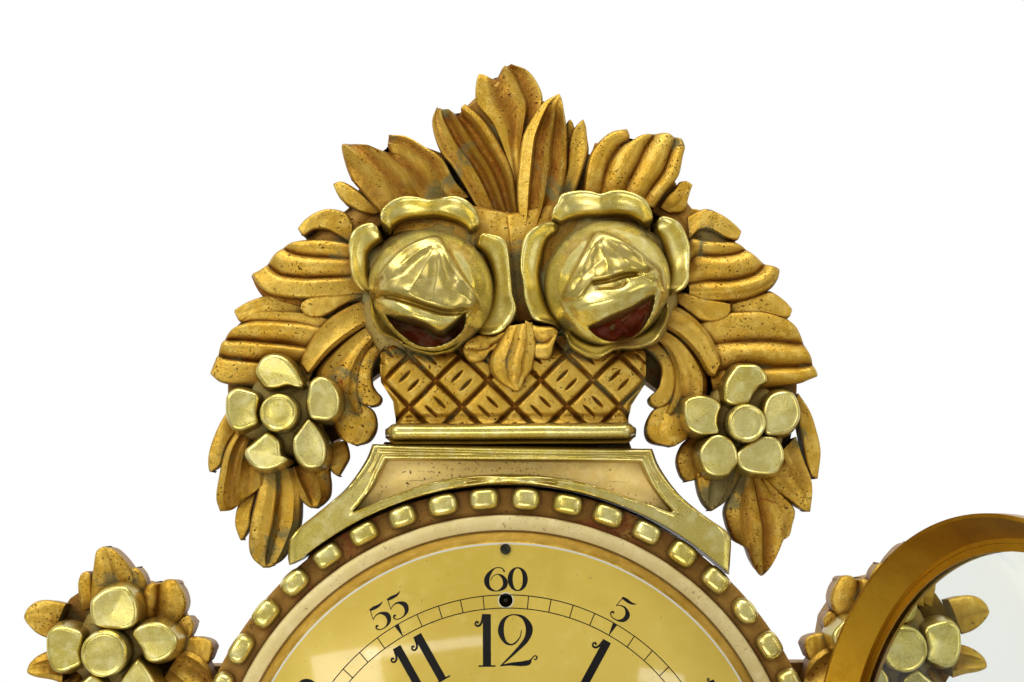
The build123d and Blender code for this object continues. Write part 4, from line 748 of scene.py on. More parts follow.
# Ground under the two roses, nearly up to their petals.
roseBands = [
    fan("valley", 60.5, 0, [(-45, 240), (-20, 245), (2, 242)],
        [(-48, 200), (-20, 196), (8, 196)], groundRibs),
    fan("valley", 60, 0, [(60, 242), (30, 247), (0, 241)],
        [(62, 205), (35, 196), (4, 196)], groundRibs),
]
sideLobes = [
    (-163.3, 58.7, -164.4, 17.9, 18.4, 0, 56), (-156.6, 56.5, -142.2, 19.7, 14.3, 0, 54),
    (-169.9, 56.5, -185.3, 27.8, 14.3, 2, 54),
]
fanLook = {
    "rows": 34,          # points from foot to tip
    "relief": 1.35,      # scale of the ribs
    "ribPower": 1.9, "ribRows": 44,
    "edgeRound": 1.3,    # the edges are rounded over this width
    "footSink": 2.6,     # the foot is tucked in by this much
    "backDepth": 38.0,   # depth of the flat back
    "wallShade": 0.75,   # how much of the hollow colour its walls take
}
# Walls at the sides and at the end of a broad leaf, as (inset, share of the depth).
fanSide = [(0.15, 0.05), (0.5, 0.4), (0.9, 1.0)]
fanEnd = [(0.25, 0.05), (0.8, 0.35), (1.6, 1.0)]


def ribProfile(ribs, sharp):
    # Shares across the leaf and heights there: between a crest and a valley the height follows a power, flat
    # at the rounded one and steep at the sharp one.
    shares, heights = [ribs[0][0]], [ribs[0][1]]
    for (start, low), (stop, high) in zip(ribs[:-1], ribs[1:]):
        count = max(4, int(round((stop - start) * fanLook["ribRows"])))
        part = np.linspace(0, 1, count + 1)[1:]
        rising = (high > low) == (sharp == "crest")
        curve = part ** fanLook["ribPower"] if rising else 1 - (1 - part) ** fanLook["ribPower"]
        shares.extend(start + (stop - start) * part)
        heights.extend(low + (high - low) * curve)
    return np.array(shares), np.array(heights)


def topLine(leaf, share):
    # The scalloped end: a smooth curve through the tips and notches, read at each share across.
    stops = [(0.0, *leaf["left"][-1])] + list(leaf["top"]) + [(1.0, *leaf["right"][-1])]
    stops = np.array(stops, float)
    if len(stops) == 2:
        return stops[0, 1:] + (stops[1, 1:] - stops[0, 1:]) * share[:, None]
    curve = smoothLine(stops, 240)
    curve[:, 0] = np.maximum.accumulate(curve[:, 0])
    return np.stack([np.interp(share, curve[:, 0], curve[:, axis]) for axis in (1, 2)], -1)


def fanLeaf(leaf, mirrored=False, shift=0.0):
    # Surface between the edges: (1 - v) left(u) + v right(u), pulled to the scalloped end as u nears 1. The
    # front is front - lean u^3 - sink (1 - u)^2 + ribs(v), rounded at its edges; walls fall to a flat back.
    count = fanLook["rows"]
    left = evenLine(smoothLine(leaf["left"], 120), count)
    right = evenLine(smoothLine(leaf["right"], 120), count)
    share, ribs = ribProfile(leaf["ribs"], leaf["sharp"])
    u = np.linspace(0, 1, count)[:, None]
    v = share[None, :]
    plan = left[:, None, :] * (1 - v[..., None]) + right[:, None, :] * v[..., None]
    chord = left[-1] * (1 - share[:, None]) + right[-1] * share[:, None]
    plan = plan + (u ** 1.6)[..., None] * (topLine(leaf, share) - chord)[None]
    width = np.linalg.norm(right - left, axis=1)[:, None]
    above = np.flip(np.cumsum(np.flip(np.linalg.norm(np.diff(plan, axis=0), axis=2), 0), 0), 0)
    above = np.vstack([above, np.zeros((1, len(share)))])
    rim = np.minimum(np.minimum(v * width, (1 - v) * width), above)
    rounded = np.clip(1 - rim / fanLook["edgeRound"], 0, 1)
    rounded = fanLook["edgeRound"] * (1 - np.sqrt(np.clip(1 - rounded ** 2, 0, 1)))
    swell = softStep(width, 3, 16) * (0.6 + 0.4 * softStep(u, 0, 0.45))
    relief = fanLook["relief"] * ribs[None, :] * swell
    phase = leaf["left"][0][0]
    wobble = 0.16 * np.sin(u * 8 + phase) * np.cos(v * 5 + phase) + 0.05 * np.sin(u * 31 + v * 4)
    front = leaf["front"] - leaf["lean"] * u ** 3 - fanLook["footSink"] * (1 - u) ** 2
    front = front + relief - rounded + wobble
    # painted shade: the deeper valleys between the ribs take the hollow colour, and the walls take the wall
    # share of it
    hollow = np.clip((-relief - 1.1) / 1.5, 0, 1) * 0.95 + 0 * u
    middle = plan[-1].mean(0)
    back = leaf.get("back", fanLook["backDepth"])
    rows, masks = [np.dstack([plan, front])], [hollow]
    for inset, drop in fanEnd:
        edge = plan[-1] + (plan[-3] - plan[-1]) * min(inset / 3, 1) + (middle - plan[-1]) * 0.04 * inset
        deep = front[-1] + (back - front[-1]) * drop
        rows.append(np.dstack([edge[None], deep[None, :]]))
        masks.append(np.full((1, len(share)), fanLook["wallShade"]))
    grid, mask = np.concatenate(rows), np.concatenate(masks)
    columns, shades = [grid], [mask]
    across = grid[:, -1, :2] - grid[:, 0, :2]
    across = across / (np.linalg.norm(across, axis=1)[:, None] + 1e-9)
    for edge, steps in ((-1, fanSide), (0, fanSide[::-1])):
        for inset, drop in steps:
            place = grid[:, edge, :2] + across * (inset if edge == 0 else -inset)
            deep = grid[:, edge, 2] + (back - grid[:, edge, 2]) * drop
            columns.append(np.dstack([place[:, None], deep[:, None]]))
            shades.append(np.full((len(grid), 1), fanLook["wallShade"]))
    points = np.concatenate(columns, 1)
    flip = -1 if mirrored else 1
    return sweptLoops(np.stack([points[..., 0] * flip + shift, -points[..., 2], points[..., 1]], -1),
                      np.clip(np.concatenate(shades, 1), 0, 1))


def around(radius, degrees):
    # Point at a radius and an angle from +x.
    return radius * math.cos(math.radians(degrees)), radius * math.sin(math.radians(degrees))


festoonAngles = (200, 213, 226, 239, 252)
lowerLeaves = [(*around(134, angle - 4), *around(158, angle + 13), 16, 3, 57) for angle in festoonAngles]
lowerLeaves += [(*around(131.5, angle - 9), *around(138, angle + 8), 8, 0, 55) for angle in festoonAngles]
lowerLeaves += [
    (22, -150, 80, -140, 17, -4, 57), (24, -162, 78, -172, 17, 2, 57), (20, -178, 62, -214, 19, 5, 58),
    (14, -192, 42, -246, 18, 5, 58), (7, -205, 22, -280, 15, 3, 59),
]
pendantTip = (0, -200, 0, -306, 15, 0, 60)

for name, fans, material, replaced in (
        ("crestLeaves", crownFans + leftFans + rightFans, giltWood, ["crest_leaves"]),
        ("crestGround", groundFans, carvedGround, []),
        ("roseBands", roseBands, giltWood, []),
        ("leftDropLeaves", leftDropFans, giltWood, ["left_drop_leaves"]),
        ("rightDropLeaves", rightDropFans, giltWood, ["right_drop_leaves"])):
    makePiece(name, [fanLeaf(leaf) for leaf in fans], material, replaced)
for name, mirrored, shift, node in (("leftSideLeaves", False, 0.0, "left_side_leaves"),
                                    ("rightSideLeaves", True, 3.0, "right_side_leaves")):
    spray = [fanLeaf(leaf, mirrored, shift) for leaf in sideFans]
    makePiece(name, spray + [leafLobe(row, mirrored) for row in sideLobes], giltWood, [node])
festoon = [leafLobe(row) for row in lowerLeaves + [pendantTip]] + [leafLobe(row, True) for row in lowerLeaves]
makePiece("lowerLeaves", festoon, giltWood, ["lower_leaves"])
print("leaves carved")

# Swags: flat carved bands that roll over from the roses to the rosettes.
leftBands = [
    fan("crest", 61, 1.5, [(-54, 196.5), (-63.5, 190.5), (-72, 183.5), (-78.5, 176), (-80.5, 175)],
        [(-52.5, 207), (-61.5, 204), (-71, 198.5), (-77, 192), (-82, 184), (-83.5, 179)],
        [(0, -1.4), (0.16, 0.3), (0.55, -0.5), (0.86, 0.4), (1, -1)]),
    fan("crest", 59.5, 1, [(-54, 197), (-63, 191), (-71, 184), (-77, 176.5), (-76, 168), (-71, 159.5)],
        [(-47.5, 195), (-53.5, 188), (-57.5, 181), (-59.5, 172.5), (-59.5, 165), (-57, 158.5)],
        [(0, -1.4), (0.14, 0.3), (0.45, -1.2), (0.78, 0.5), (1, -1.4)]),
    fan("valley", 57.5, 1, [(-51, 190), (-57.5, 185), (-61, 177), (-61.5, 169), (-59.5, 163.5), (-55, 162)],
        [(-43.5, 187), (-50, 184), (-53.5, 178.5), (-54, 172), (-52.3, 168.3), (-50.6, 166.5)],
        [(0, -1.2), (0.5, 0.8), (1, -1.8)], [(0.3, -52.2, 162.2), (0.55, -50.5, 163.2), (0.8, -49.9, 165)]),
    fan("valley", 58.5, 1, [(-72, 165.5), (-70, 154.5), (-67, 149), (-62.5, 146.5)],
        [(-57.5, 163.5), (-53, 159.5), (-52, 153.5), (-55, 148), (-61, 146)],
        [(0, -1), (0.4, 0.3), (0.7, -0.6), (1, -1.4)]),
]
rightBands = [
    fan("crest", 61, 1.5, [(63, 204.5), (72, 202), (80, 196), (85.5, 188.5), (89, 178.5)],
        [(65.5, 194), (72.5, 189), (78.5, 182), (83, 174.5), (86.5, 173)],
        [(0, -1), (0.2, 0.4), (0.5, -0.7), (0.85, 0.4), (1, -1.4)]),
    fan("crest", 59.5, 1, [(64.5, 194), (72.5, 189), (78.5, 182), (83, 173.5), (82.5, 164.5), (78, 157)],
        [(58, 192.5), (65, 186.5), (68.5, 179.5), (69.5, 171), (68.5, 164), (65, 158)],
        [(0, -1.4), (0.16, 0.4), (0.5, -1.2), (0.8, 0.4), (1, -1.4)]),
    fan("valley", 57.5, 1, [(60.5, 190.5), (67, 184.5), (71, 177), (70.5, 169), (68, 163), (63, 160.5)],
        [(54, 186.5), (60, 183.5), (64, 178), (64, 171.5), (62.3, 168), (60.2, 166.2)],
        [(0, -1.2), (0.5, 0.8), (1, -1.8)], [(0.3, 60.6, 161.4), (0.55, 59.2, 162.8), (0.8, 59, 164.7)]),
    fan("valley", 58.5, 1, [(80, 164.5), (78, 154), (75, 148.5), (69.5, 145)],
        [(65, 162.5), (60, 159), (57.5, 152.5), (59.5, 147), (68, 145)],
        [(0, -1), (0.4, 0.3), (0.7, -0.6), (1, -1.4)]),
]
for name, bands, node in (("leftSwag", leftBands, "left_swag"), ("rightSwag", rightBands, "right_swag")):
    makePiece(name, [fanLeaf(band) for band in bands], giltWood, [node])

# Rosettes: five flat-faced petals round a dished button on a worn ground.
rosetteLook = {
    "front": 60.0, "petalRise": 8.0, "buttonRise": 12.0, "groundRadius": 17.0,
    "rim": 2.0,          # the faces round off over this width
    "grow": 1.06,        # the petals are this much larger than their drawn faces
    "flare": 1.3,        # the sides spread by this much towards the ground
    "dish": 0.7,         # the face is sunk this much at its middle
    "faceRows": 9, "rimRows": 11, "petalAround": 60,
    "button": 7.4, "sideButton": 9.0, "buttonFoot": 52.0, "pendantGround": 22.0,
}
# Side of a petal below its rim, as (spread, depth, hollow colour), the hollow colour here being painted
# shade.
petalSide = np.array([(0.25, 2.8, 0.4), (0.7, 6, 0.6), (1, 10, 0.8), (1, 16, 0.9)])
# Hubs, and the outline of each petal's face from its hub, clockwise from the top petal.
leftHub, rightHub, sideHub, pendantHub = (-90.7, 158.8), (97.3, 153.8), (-159.2, 63.6), (0.0, -172.0)
petalOutlines = {
    "left": [
        [(-9.5, 17), (-7.5, 21.5), (-4, 23.5), (0.5, 23), (4, 20.5), (7, 16), (9, 12), (7.5, 10.5), (3, 11.5),
         (-1, 10.5), (-5, 10.5), (-7.5, 13)],
        [(11.5, 8), (12.5, 12), (15, 14), (18, 14), (21, 12), (23.5, 8), (24, 4), (23, 0), (20, -2.5),
         (16, -2.5), (12.5, -1.5), (11, 3.5)],
        [(11, -3), (12.5, -3.5), (15.5, -7), (18, -12), (18.5, -16.5), (17, -20.5), (13, -22), (9, -20.5),
         (6, -16), (5.5, -11), (7, -8)],
        [(-5, -8), (-1.5, -10), (0, -12.5), (0.5, -16.5), (3, -18.5), (0, -21), (-5, -22.5), (-10, -21.5),
         (-13, -18), (-13.5, -15), (-11, -12.5), (-8, -10)],
        [(-18, 9.5), (-13.5, 9), (-9, 7), (-9, 3), (-9.5, 0), (-9, -3.5), (-12.5, -5.5), (-16, -6.5),
         (-19, -5.5), (-21, -1.5), (-21.5, 3), (-21, 7)],
    ],
    "right": [
        [(-8, 10), (-8, 15.5), (-6, 19.5), (-3, 23), (1, 23.5), (5, 23), (8, 20), (8.5, 17), (5.5, 15),
         (3, 11.5), (1.5, 8.5), (-2.5, 7.5), (-6, 8)],
        [(7.5, 4.5), (8.5, 8.5), (10.5, 11), (14, 12.5), (17.5, 12.5), (20, 11), (21.5, 7.5), (22, 3.5),
         (20.5, -0.5), (17.5, -3.5), (12.5, -4.5), (8.5, -4), (7.5, 0)],
        [(-3.5, -12.5), (-0.5, -9.5), (3.5, -7), (7, -5.5), (11.5, -6), (14, -9), (15, -13.5), (13.5, -17.5),
         (11.5, -20), (7, -20.5), (1, -19.5), (-2.5, -17)],
        [(-13.5, -5.5), (-10, -5), (-6, -7), (-4, -10.5), (-3.5, -15), (-5.5, -18), (-8, -20.5), (-12.5, -21),
         (-16, -19.5), (-18, -15.5), (-18.5, -11.5), (-16.5, -8)],
        [(-23.5, 9.5), (-18.5, 11), (-13.5, 10), (-10, 7.5), (-11, 4), (-11.5, 0), (-11, -3.5), (-14.5, -4),
         (-19, -4), (-23, -1.5), (-24.5, 3), (-24.5, 7)],
    ],
}
# The side sprays have two petals of their own; the other three follow the left rosette.
petalOutlines["side"] = [
    [(-6, 15), (-6, 20), (-3.5, 23), (-0.5, 25), (3.5, 26), (7.5, 25.5), (10.5, 22), (12, 17),
     (11.5, 12.5), (8.5, 10), (4, 9.5), (-1, 10), (-4.5, 11.5)],
    [(10.5, 7.5), (12.5, 10), (16.5, 11.5), (21.5, 11.5), (25.5, 9), (28, 5.5), (27, 1), (24, -2),
     (19.5, -3.5), (16, -2.5), (14, 1.5), (12, 4.5)],
] + [[(x * 1.1, z * 1.1) for x, z in outline] for outline in petalOutlines["left"][2:]]
petalOutlines["otherSide"] = [[(-x, z) for x, z in outline] for outline in petalOutlines["side"]]
petalOutlines["pendant"] = petalOutlines["right"]


def tabletPetal(hub, outline, phase):
    # Rings from the petal's middle to its outline. The face is flat with a slight dish, a fold and a lean,
    # rounds off over the rim width as a quarter circle and falls to the ground in spreading sides.
    line = evenLine(smoothLine(outline, 240, True), rosetteLook["petalAround"], True)
    middle = line.mean(0)
    line = middle + (line - middle) * rosetteLook["grow"]
    reach = np.linalg.norm(line - middle, axis=1)[None, :]
    share = np.concatenate([np.linspace(0.04, 0.72, rosetteLook["faceRows"]),
                            np.linspace(0.76, 1, rosetteLook["rimRows"])])[:, None]
    inRim = np.clip(1 - (1 - share) * reach / rosetteLook["rim"], 0, 1)
    rounded = rosetteLook["rim"] * (1 - np.sqrt(np.clip(1 - inRim ** 2, 0, 1)))
    a, b = (share * (line[:, axis] - middle[axis])[None, :] for axis in (0, 1))
    cosine, sine = math.cos(phase * 2.1), math.sin(phase * 2.1)
    along, cross = a * cosine + b * sine, b * cosine - a * sine
    dish = rosetteLook["dish"] * (1 - share ** 2) * math.cos(phase * 3) ** 2
    level = rosetteLook["front"] + rosetteLook["petalRise"]
    lean = 0.07 * along - dish + 0.03 * np.abs(cross)
    depth = np.minimum(level - rosetteLook["dish"] + lean, level) - rounded
    spread, deep, shade = petalSide.T[:, :, None]
    spread = spread * rosetteLook["flare"] / reach + 1
    depth = np.vstack([depth, level - deep - rosetteLook["rim"] + 0 * spread])
    # painted shade: the rim darkens as it rounds off, and the sides darken down towards the ground
    hollow = np.vstack([0.35 * rounded / rosetteLook["rim"], shade + 0 * spread])
    a, b = np.vstack([a, spread * a[-1:]]), np.vstack([b, spread * b[-1:]])
    return sweptLoops(np.stack([hub[0] + middle[0] + a, -depth, hub[1] + middle[1] + b], -1), hollow)


def button(centre, radius):
    # Turned button: spreading sides, a narrow rounded rim and a shallow dish.
    top, foot = rosetteLook["front"] + rosetteLook["buttonRise"], rosetteLook["buttonFoot"]
    profile = [(0, -foot), (radius + 0.6, -foot), (radius + 0.9, -foot - 6), (radius + 0.7, -foot - 12),
               (radius + 0.3, 2.6 - top), (radius, 1.0 - top), (radius - 0.6, 0.1 - top),
               (radius - 1.1, 0.15 - top), (radius - 1.6, 0.6 - top), (radius - 3.2, 0.7 - top),
               (radius * 0.3, 0.6 - top), (0, 0.55 - top)]
    return turned(smoothLine(profile, 64), 56, centre)


# Rough ground from its middle to its rim, as (share of the radius, drop).
groundSteps = np.array([
    (0.04, 0), (0.2, 0), (0.36, 0), (0.52, 0.1), (0.68, 0.4), (0.82, 1), (0.92, 2), (0.98, 3.6), (1, 6.5),
    (0.99, 12), (0.96, 20)])


def lumpyGround(centre, radius, front, phase):
    # Rough disc with a wavy rim, left as the carver's tool left it.
    angle = np.linspace(0, 2 * np.pi, 72, endpoint=False)[None, :]
    ring, drop = groundSteps.T[:, :, None]
    out = radius * (1 + 0.05 * np.sin(5 * angle + phase) + 0.03 * np.sin(9 * angle + 2 * phase))
    x, z = centre[0] + ring * out * np.cos(angle), centre[1] + ring * out * np.sin(angle)
    depth = front - drop + 0.45 * np.sin(x * 0.9 + phase) * np.cos(z * 0.8) * (drop < 3)
    # painted shade: the rim darkens as it falls back
    return sweptLoops(np.stack([x, -depth + 0 * angle, z], -1), np.clip(drop / 6, 0, 1) + 0 * angle)


def makeRosette(name, hub, outlines, node, buttonRadius, groundRadius):
    # Ground, petals and button of one rosette.
    ground = lumpyGround(hub, groundRadius, rosetteLook["front"], hub[0])
    makePiece(name + "Ground", [ground], groundGilt)
    petals = [tabletPetal(hub, outline, hub[0] * 0.1 + spot) for spot, outline in enumerate(outlines)]
    makePiece(name, petals + [button(hub, buttonRadius)], burnishedGilt, [node])


for name, hub, outlines, node, size, radius in (
        ("leftRosette", leftHub, "left", "left_crest_rosette", "button", "groundRadius"),
        ("rightRosette", rightHub, "right", "right_crest_rosette", "button", "groundRadius"),
        ("leftSideRosette", sideHub, "side", "left_side_rosette", "sideButton", "groundRadius"),
        ("rightSideRosette", (-sideHub[0], sideHub[1]), "otherSide", "right_side_rosette", "sideButton",
         "groundRadius"),
        ("pendantRosette", pendantHub, "pendant", "pendant_boss", "button", "pendantGround")):
    makeRosette(name, hub, petalOutlines[outlines], node, rosetteLook[size], rosetteLook[radius])
print("swags and rosettes carved")

# Roses: a folded bud over a hollow mouth, with four dished outer petals.
roseLook = {
    "radius": 26.2, "rings": 96, "around": 160, "base": 62.0, "rise": 27.0, "mouthFloor": 58.0,
    "deepest": 90.6,     # no fold stands further forward than this
    "groundRadius": 30.0, "groundFront": 61.5, "throatBack": 56.0,
    "petalPoints": 64,   # points along an outer petal
    "petalBase": 50.0, "petalFront": 67.9,
}
# Wall of a bud below its edge, as (share of the radius, depth).
budWall = np.array([(0.995, 58), (0.97, 50), (0.93, 41)])
# Outer petal from its inner line to its rim and down its back, as (share of the width, depth).
petalSection = np.array([
    (0, 61.5), (0.06, 62.8), (0.16, 64), (0.28, 64.7), (0.4, 65.1), (0.52, 65.5), (0.63, 66.1), (0.73, 66.8),
    (0.82, 67.4), (0.9, 67.6), (0.96, 67), (1, 65.8), (1, 63.4), (0.985, 60), (0.96, 54), (0.9, 46),
    (0.6, 42), (0.2, 42)])
petalBackRow = 14        # its rows from here on are the back
# Throat of a mouth, as (share of the radius, depth).
throatSteps = np.array([(0.05, 61.5), (0.3, 61.8), (0.55, 62.2), (0.75, 63.4), (0.9, 66.5), (0.99, 72)])


def segmentDistance(a, b, line, closed=False):
    # Distance from each point to a polyline, and the nearest share of its length.
    line = np.asarray(line, float)
    if closed:
        line = np.vstack([line, line[:1]])
    start, step = line[:-1], np.diff(line, axis=0)
    length = np.linalg.norm(step, axis=1)
    walked = np.concatenate([[0], np.cumsum(length)])
    gapA = a[..., None] - start[:, 0]
    gapB = b[..., None] - start[:, 1]
    share = np.clip((gapA * step[:, 0] + gapB * step[:, 1]) / length ** 2, 0, 1)
    distance = np.hypot(gapA - share * step[:, 0], gapB - share * step[:, 1])
    best = distance.argmin(-1)
    nearest = np.take_along_axis(distance, best[..., None], -1)[..., 0]
    within = np.take_along_axis(share, best[..., None], -1)[..., 0]
    return nearest, (walked[best] + within * length[best]) / walked[-1]


def insideOutline(a, b, outline):
    # Even-odd test of every point against a closed outline.
    outline = np.asarray(outline, float)
    after = np.roll(outline, -1, axis=0)
    above = (outline[:, 1] > b[..., None]) != (after[:, 1] > b[..., None])
    crossing = (after[:, 0] - outline[:, 0]) * (b[..., None] - outline[:, 1]) / (
        after[:, 1] - outline[:, 1] + 1e-12) + outline[:, 0]
    return (above & (a[..., None] < crossing)).sum(-1) % 2 == 1


# Lines are (x, z) from the rose's centre; a fold is (line, height, width), a crease cuts in.
roseShapes = {
    "left": {
        "centre": (-30.3, 207.9),
        "narrow": (215, 34, 3.8),
        "tent": [(-24.5, -3.5), (-21, 3.5), (-12, 13.5), (-3, 19), (3.8, 20.4), (8.5, 13), (14, 4),
                 (20.5, -5), (22.5, -9.5), (14, -8.6), (8, -9.6), (0, -7.6), (-8, -4.6), (-16, -2.6)],
        "folds": [([(3.8, 20.4), (-6, 17.4), (-14.5, 11.2), (-19, 5)], 2, 1.5), ([(3.2, 17.5), (-4, 13.5),
                  (-11, 7.5)], 1.3, 1.2), ([(2.6, 15), (-2, 6), (-7.2, -2.2)], 2.4, 2.6), ([(3.6, 14),
                  (3.6, 5), (2.2, -4.5)], 1, 1.5), ([(4.6, 19.5), (8.3, 10), (12.2, 2)], 1.9, 1.3), ([(5, 20),
                  (11.5, 8.5), (17.4, -1), (21.6, -8.8)], 1.8, 1.5)],
        "creases": [([(-23.5, -2.8), (-16, -3.4), (-8, -5.8), (0, -8.8), (8, -10.6), (16, -9.6)], 2.3, 1.1),
                    ([(-23, -3), (-21.5, 1.5), (-18.5, 3.5)], 1.6, 1.2)],
        "lip": [(-20.5, -7.5), (-12, -9.3), (-4, -12.5), (4, -14.5), (12, -13)],
        "mouth": [(-17.2, -10.2), (-12, -11.2), (-6, -12.4), (-0.5, -14.4), (4.6, -17.2), (9, -14.8),
                  (14.4, -10.6), (14.6, -15), (11.8, -19), (6.5, -22.2), (0.5, -23.4), (-5.5, -22.2),
                  (-10.5, -18.8), (-14.6, -14.6)],
        "rim": [(-18.6, -9.5), (-15.8, -15.5), (-11, -20.6), (-4, -24.2), (3.5, -24.6), (9.8, -21.8),
                (14.4, -17), (16, -10)],
        "wraps": [([(16, -10), (18.5, -3), (17, 6), (12, 14)], 0.8, 1.6), ([(11, -22), (19, -14), (23, -4)],
                  -0.8, 1.4)],
        "petals": [
            ([(-19.5, 27), (-20, 32), (-18.5, 35), (-15, 38), (-10, 39.5), (-4.5, 39), (0.5, 38), (6, 39),
              (11, 39.5), (15.5, 37.5), (19, 33.5), (20.5, 29.5), (19.5, 25.5)],
             [(-17.5, 26), (-15, 30), (-9.5, 32.5), (-3.5, 33), (3.5, 33.5), (9.5, 32), (14, 30), (17, 27),
              (17.5, 25)]),
            ([(-20, 25), (-22.5, 28), (-25, 28.5), (-29, 27), (-32, 23.5), (-33, 18.5), (-32.5, 13), (-32, 8),
              (-30.5, 4), (-28, 1), (-25, -0.5)],
             [(-20.5, 23.5), (-22.5, 22), (-25.5, 19.5), (-27, 16.5), (-27, 12), (-26.5, 7.5), (-25, 3),
              (-24.5, 0)]),
            ([(18.5, 22.5), (22, 24), (25.5, 23.5), (29, 22.5), (31.5, 20), (32.5, 15), (33, 9.5), (33.5, 4),
              (34, -1.5), (35.5, -7), (34, -12), (31, -15.5), (27.5, -17.5), (23, -18), (19, -17)],
             [(19, 20.5), (23, 17.5), (25.5, 13.5), (27, 8.5), (27.5, 3.5), (26.5, -2), (25, -7),
              (22.5, -11.5), (18, -16)]),
            ([(-24, -1.5), (-24, -7.5), (-23, -12.5), (-20.5, -16.5), (-16.5, -18.5), (-13.5, -20),
              (-10, -22.5)],
             [(-21.5, -3.5), (-19, -8.5), (-16.5, -12.5), (-14, -16), (-11, -19.5), (-7.5, -21.5)]),
            ([(-12, -21.5), (-7, -24), (-3.5, -25), (0.5, -26), (5, -25.5), (9.5, -24.5), (12.5, -22),
              (15.5, -18)],
             [(-8.5, -20.5), (-5.5, -22.5), (-0.5, -24), (4.5, -24), (8.5, -22), (11.5, -19), (14, -15.5)]),
        ],
    },
    "right": {
        "centre": (42.5, 211),
        "narrow": (-40, 40, 1.4),
        "tent": [(-19, -7), (-15, 2), (-10, 12), (-6.5, 18.4), (-2, 18.4), (6, 13.5), (14, 8), (19.5, 2.5),
                 (18, -1), (10, 1.5), (4, 1), (-2, -1), (-8, -2.5), (-13, -8)],
        "folds": [([(-6.2, 18), (-11.5, 9.5), (-16, 0), (-18.5, -7)], 1.9, 1.5), ([(-5.4, 16), (-9.5, 8),
                  (-12.5, 0)], 1.2, 1.1), ([(-5, 14), (-2.4, 6), (0.4, -1.2)], 2.4, 2.2), ([(-4, 15), (3, 9),
                  (9.5, 3)], 1, 1.6), ([(-5.2, 18), (2, 14.6), (8, 10.6)], 2, 1.6), ([(-2, 18.6), (8, 12.5),
                  (16, 6.5), (19.5, 1.5)], 1.8, 1.3)],
        "creases": [([(-7, -2), (-1, -1.4), (5, 0.6), (11, 1.8), (17, 3.8)], 1.7, 1), ([(14.5, 7),
                    (19.5, 3.5), (21.5, -3)], 1.7, 1.2), ([(-5, -4.4), (3, -3.6), (5.5, -1.6)], 0.9, 1)],
        "lip": [(-13, -12), (-5, -10.5), (3, -8), (10, -5), (17, -2.5)],
        "mouth": [(-9, -19), (-5.5, -17), (0.5, -14.4), (7, -11.6), (12.6, -8.4), (17.4, -6.4), (17, -12),
                  (14.4, -17.6), (10.5, -21.8), (5, -24), (-0.5, -24.2), (-5.5, -22.4)],
        "rim": [(-18, -13), (-14, -18.5), (-8, -23.2), (0, -25.6), (8, -24.8), (14.4, -20), (18.4, -13),
                (20, -5)],
        "wraps": [([(-19, -14), (-21, -4), (-18, 6), (-11, 15)], 0.9, 1.6), ([(-15, -20), (-22, -9),
                  (-23, 2)], -0.8, 1.4)],
        "petals": [
            ([(-23, 24.5), (-23, 29.5), (-21, 33), (-19.5, 36.5), (-16, 38), (-11, 38.5), (-6.5, 38),
              (-3, 37), (2, 38.5), (7, 38.5), (11.5, 37), (15.5, 34.5), (17.5, 31), (18.5, 27), (17.5, 24)],
             [(-21, 26.5), (-15.5, 29), (-9.5, 30), (-3, 30), (3, 30.5), (9, 30), (14, 27.5), (16.5, 25)]),
            ([(19.5, 25), (22, 27.5), (26, 27), (29.5, 24.5), (32, 20), (33.5, 15.5), (33.5, 10.5), (33, 5.5),
              (33, 1.5), (31.5, -1.5), (29, -3), (26, -4.5)],
             [(21, 24), (23, 20.5), (24.5, 16), (25.5, 11), (26.5, 6.5), (26, 1.5), (24.5, -3)]),
            ([(-19.5, 25), (-24.5, 25.5), (-29.5, 23.5), (-33, 21), (-35, 17), (-36, 11.5), (-36, 5.5),
              (-35, 0), (-34.5, -6), (-33, -10.5), (-31, -14.5), (-27, -16), (-23, -17), (-20, -19)],
             [(-21, 23.5), (-25.5, 20.5), (-27.5, 16), (-28.5, 11), (-29.5, 5.5), (-29, 0), (-27.5, -6),
              (-25.5, -10.5), (-22.5, -15), (-19.5, -18)]),
            ([(-19, -19.5), (-17.5, -22), (-16, -26), (-12.5, -28.5), (-8.5, -30.5), (-4.5, -31),
              (-1.5, -29.5), (2, -27.5), (5, -27), (10, -27), (15, -26), (18.5, -24), (21, -20.5),
              (23, -16.5), (24.5, -12), (24, -6)],
             [(-19, -18), (-15.5, -22), (-11, -25), (-5.5, -26.5), (0.5, -25.5), (5.5, -23.5), (11, -23),
              (16, -21), (19, -17.5), (21.5, -12.5), (22.5, -7)]),
        ],
    },
}


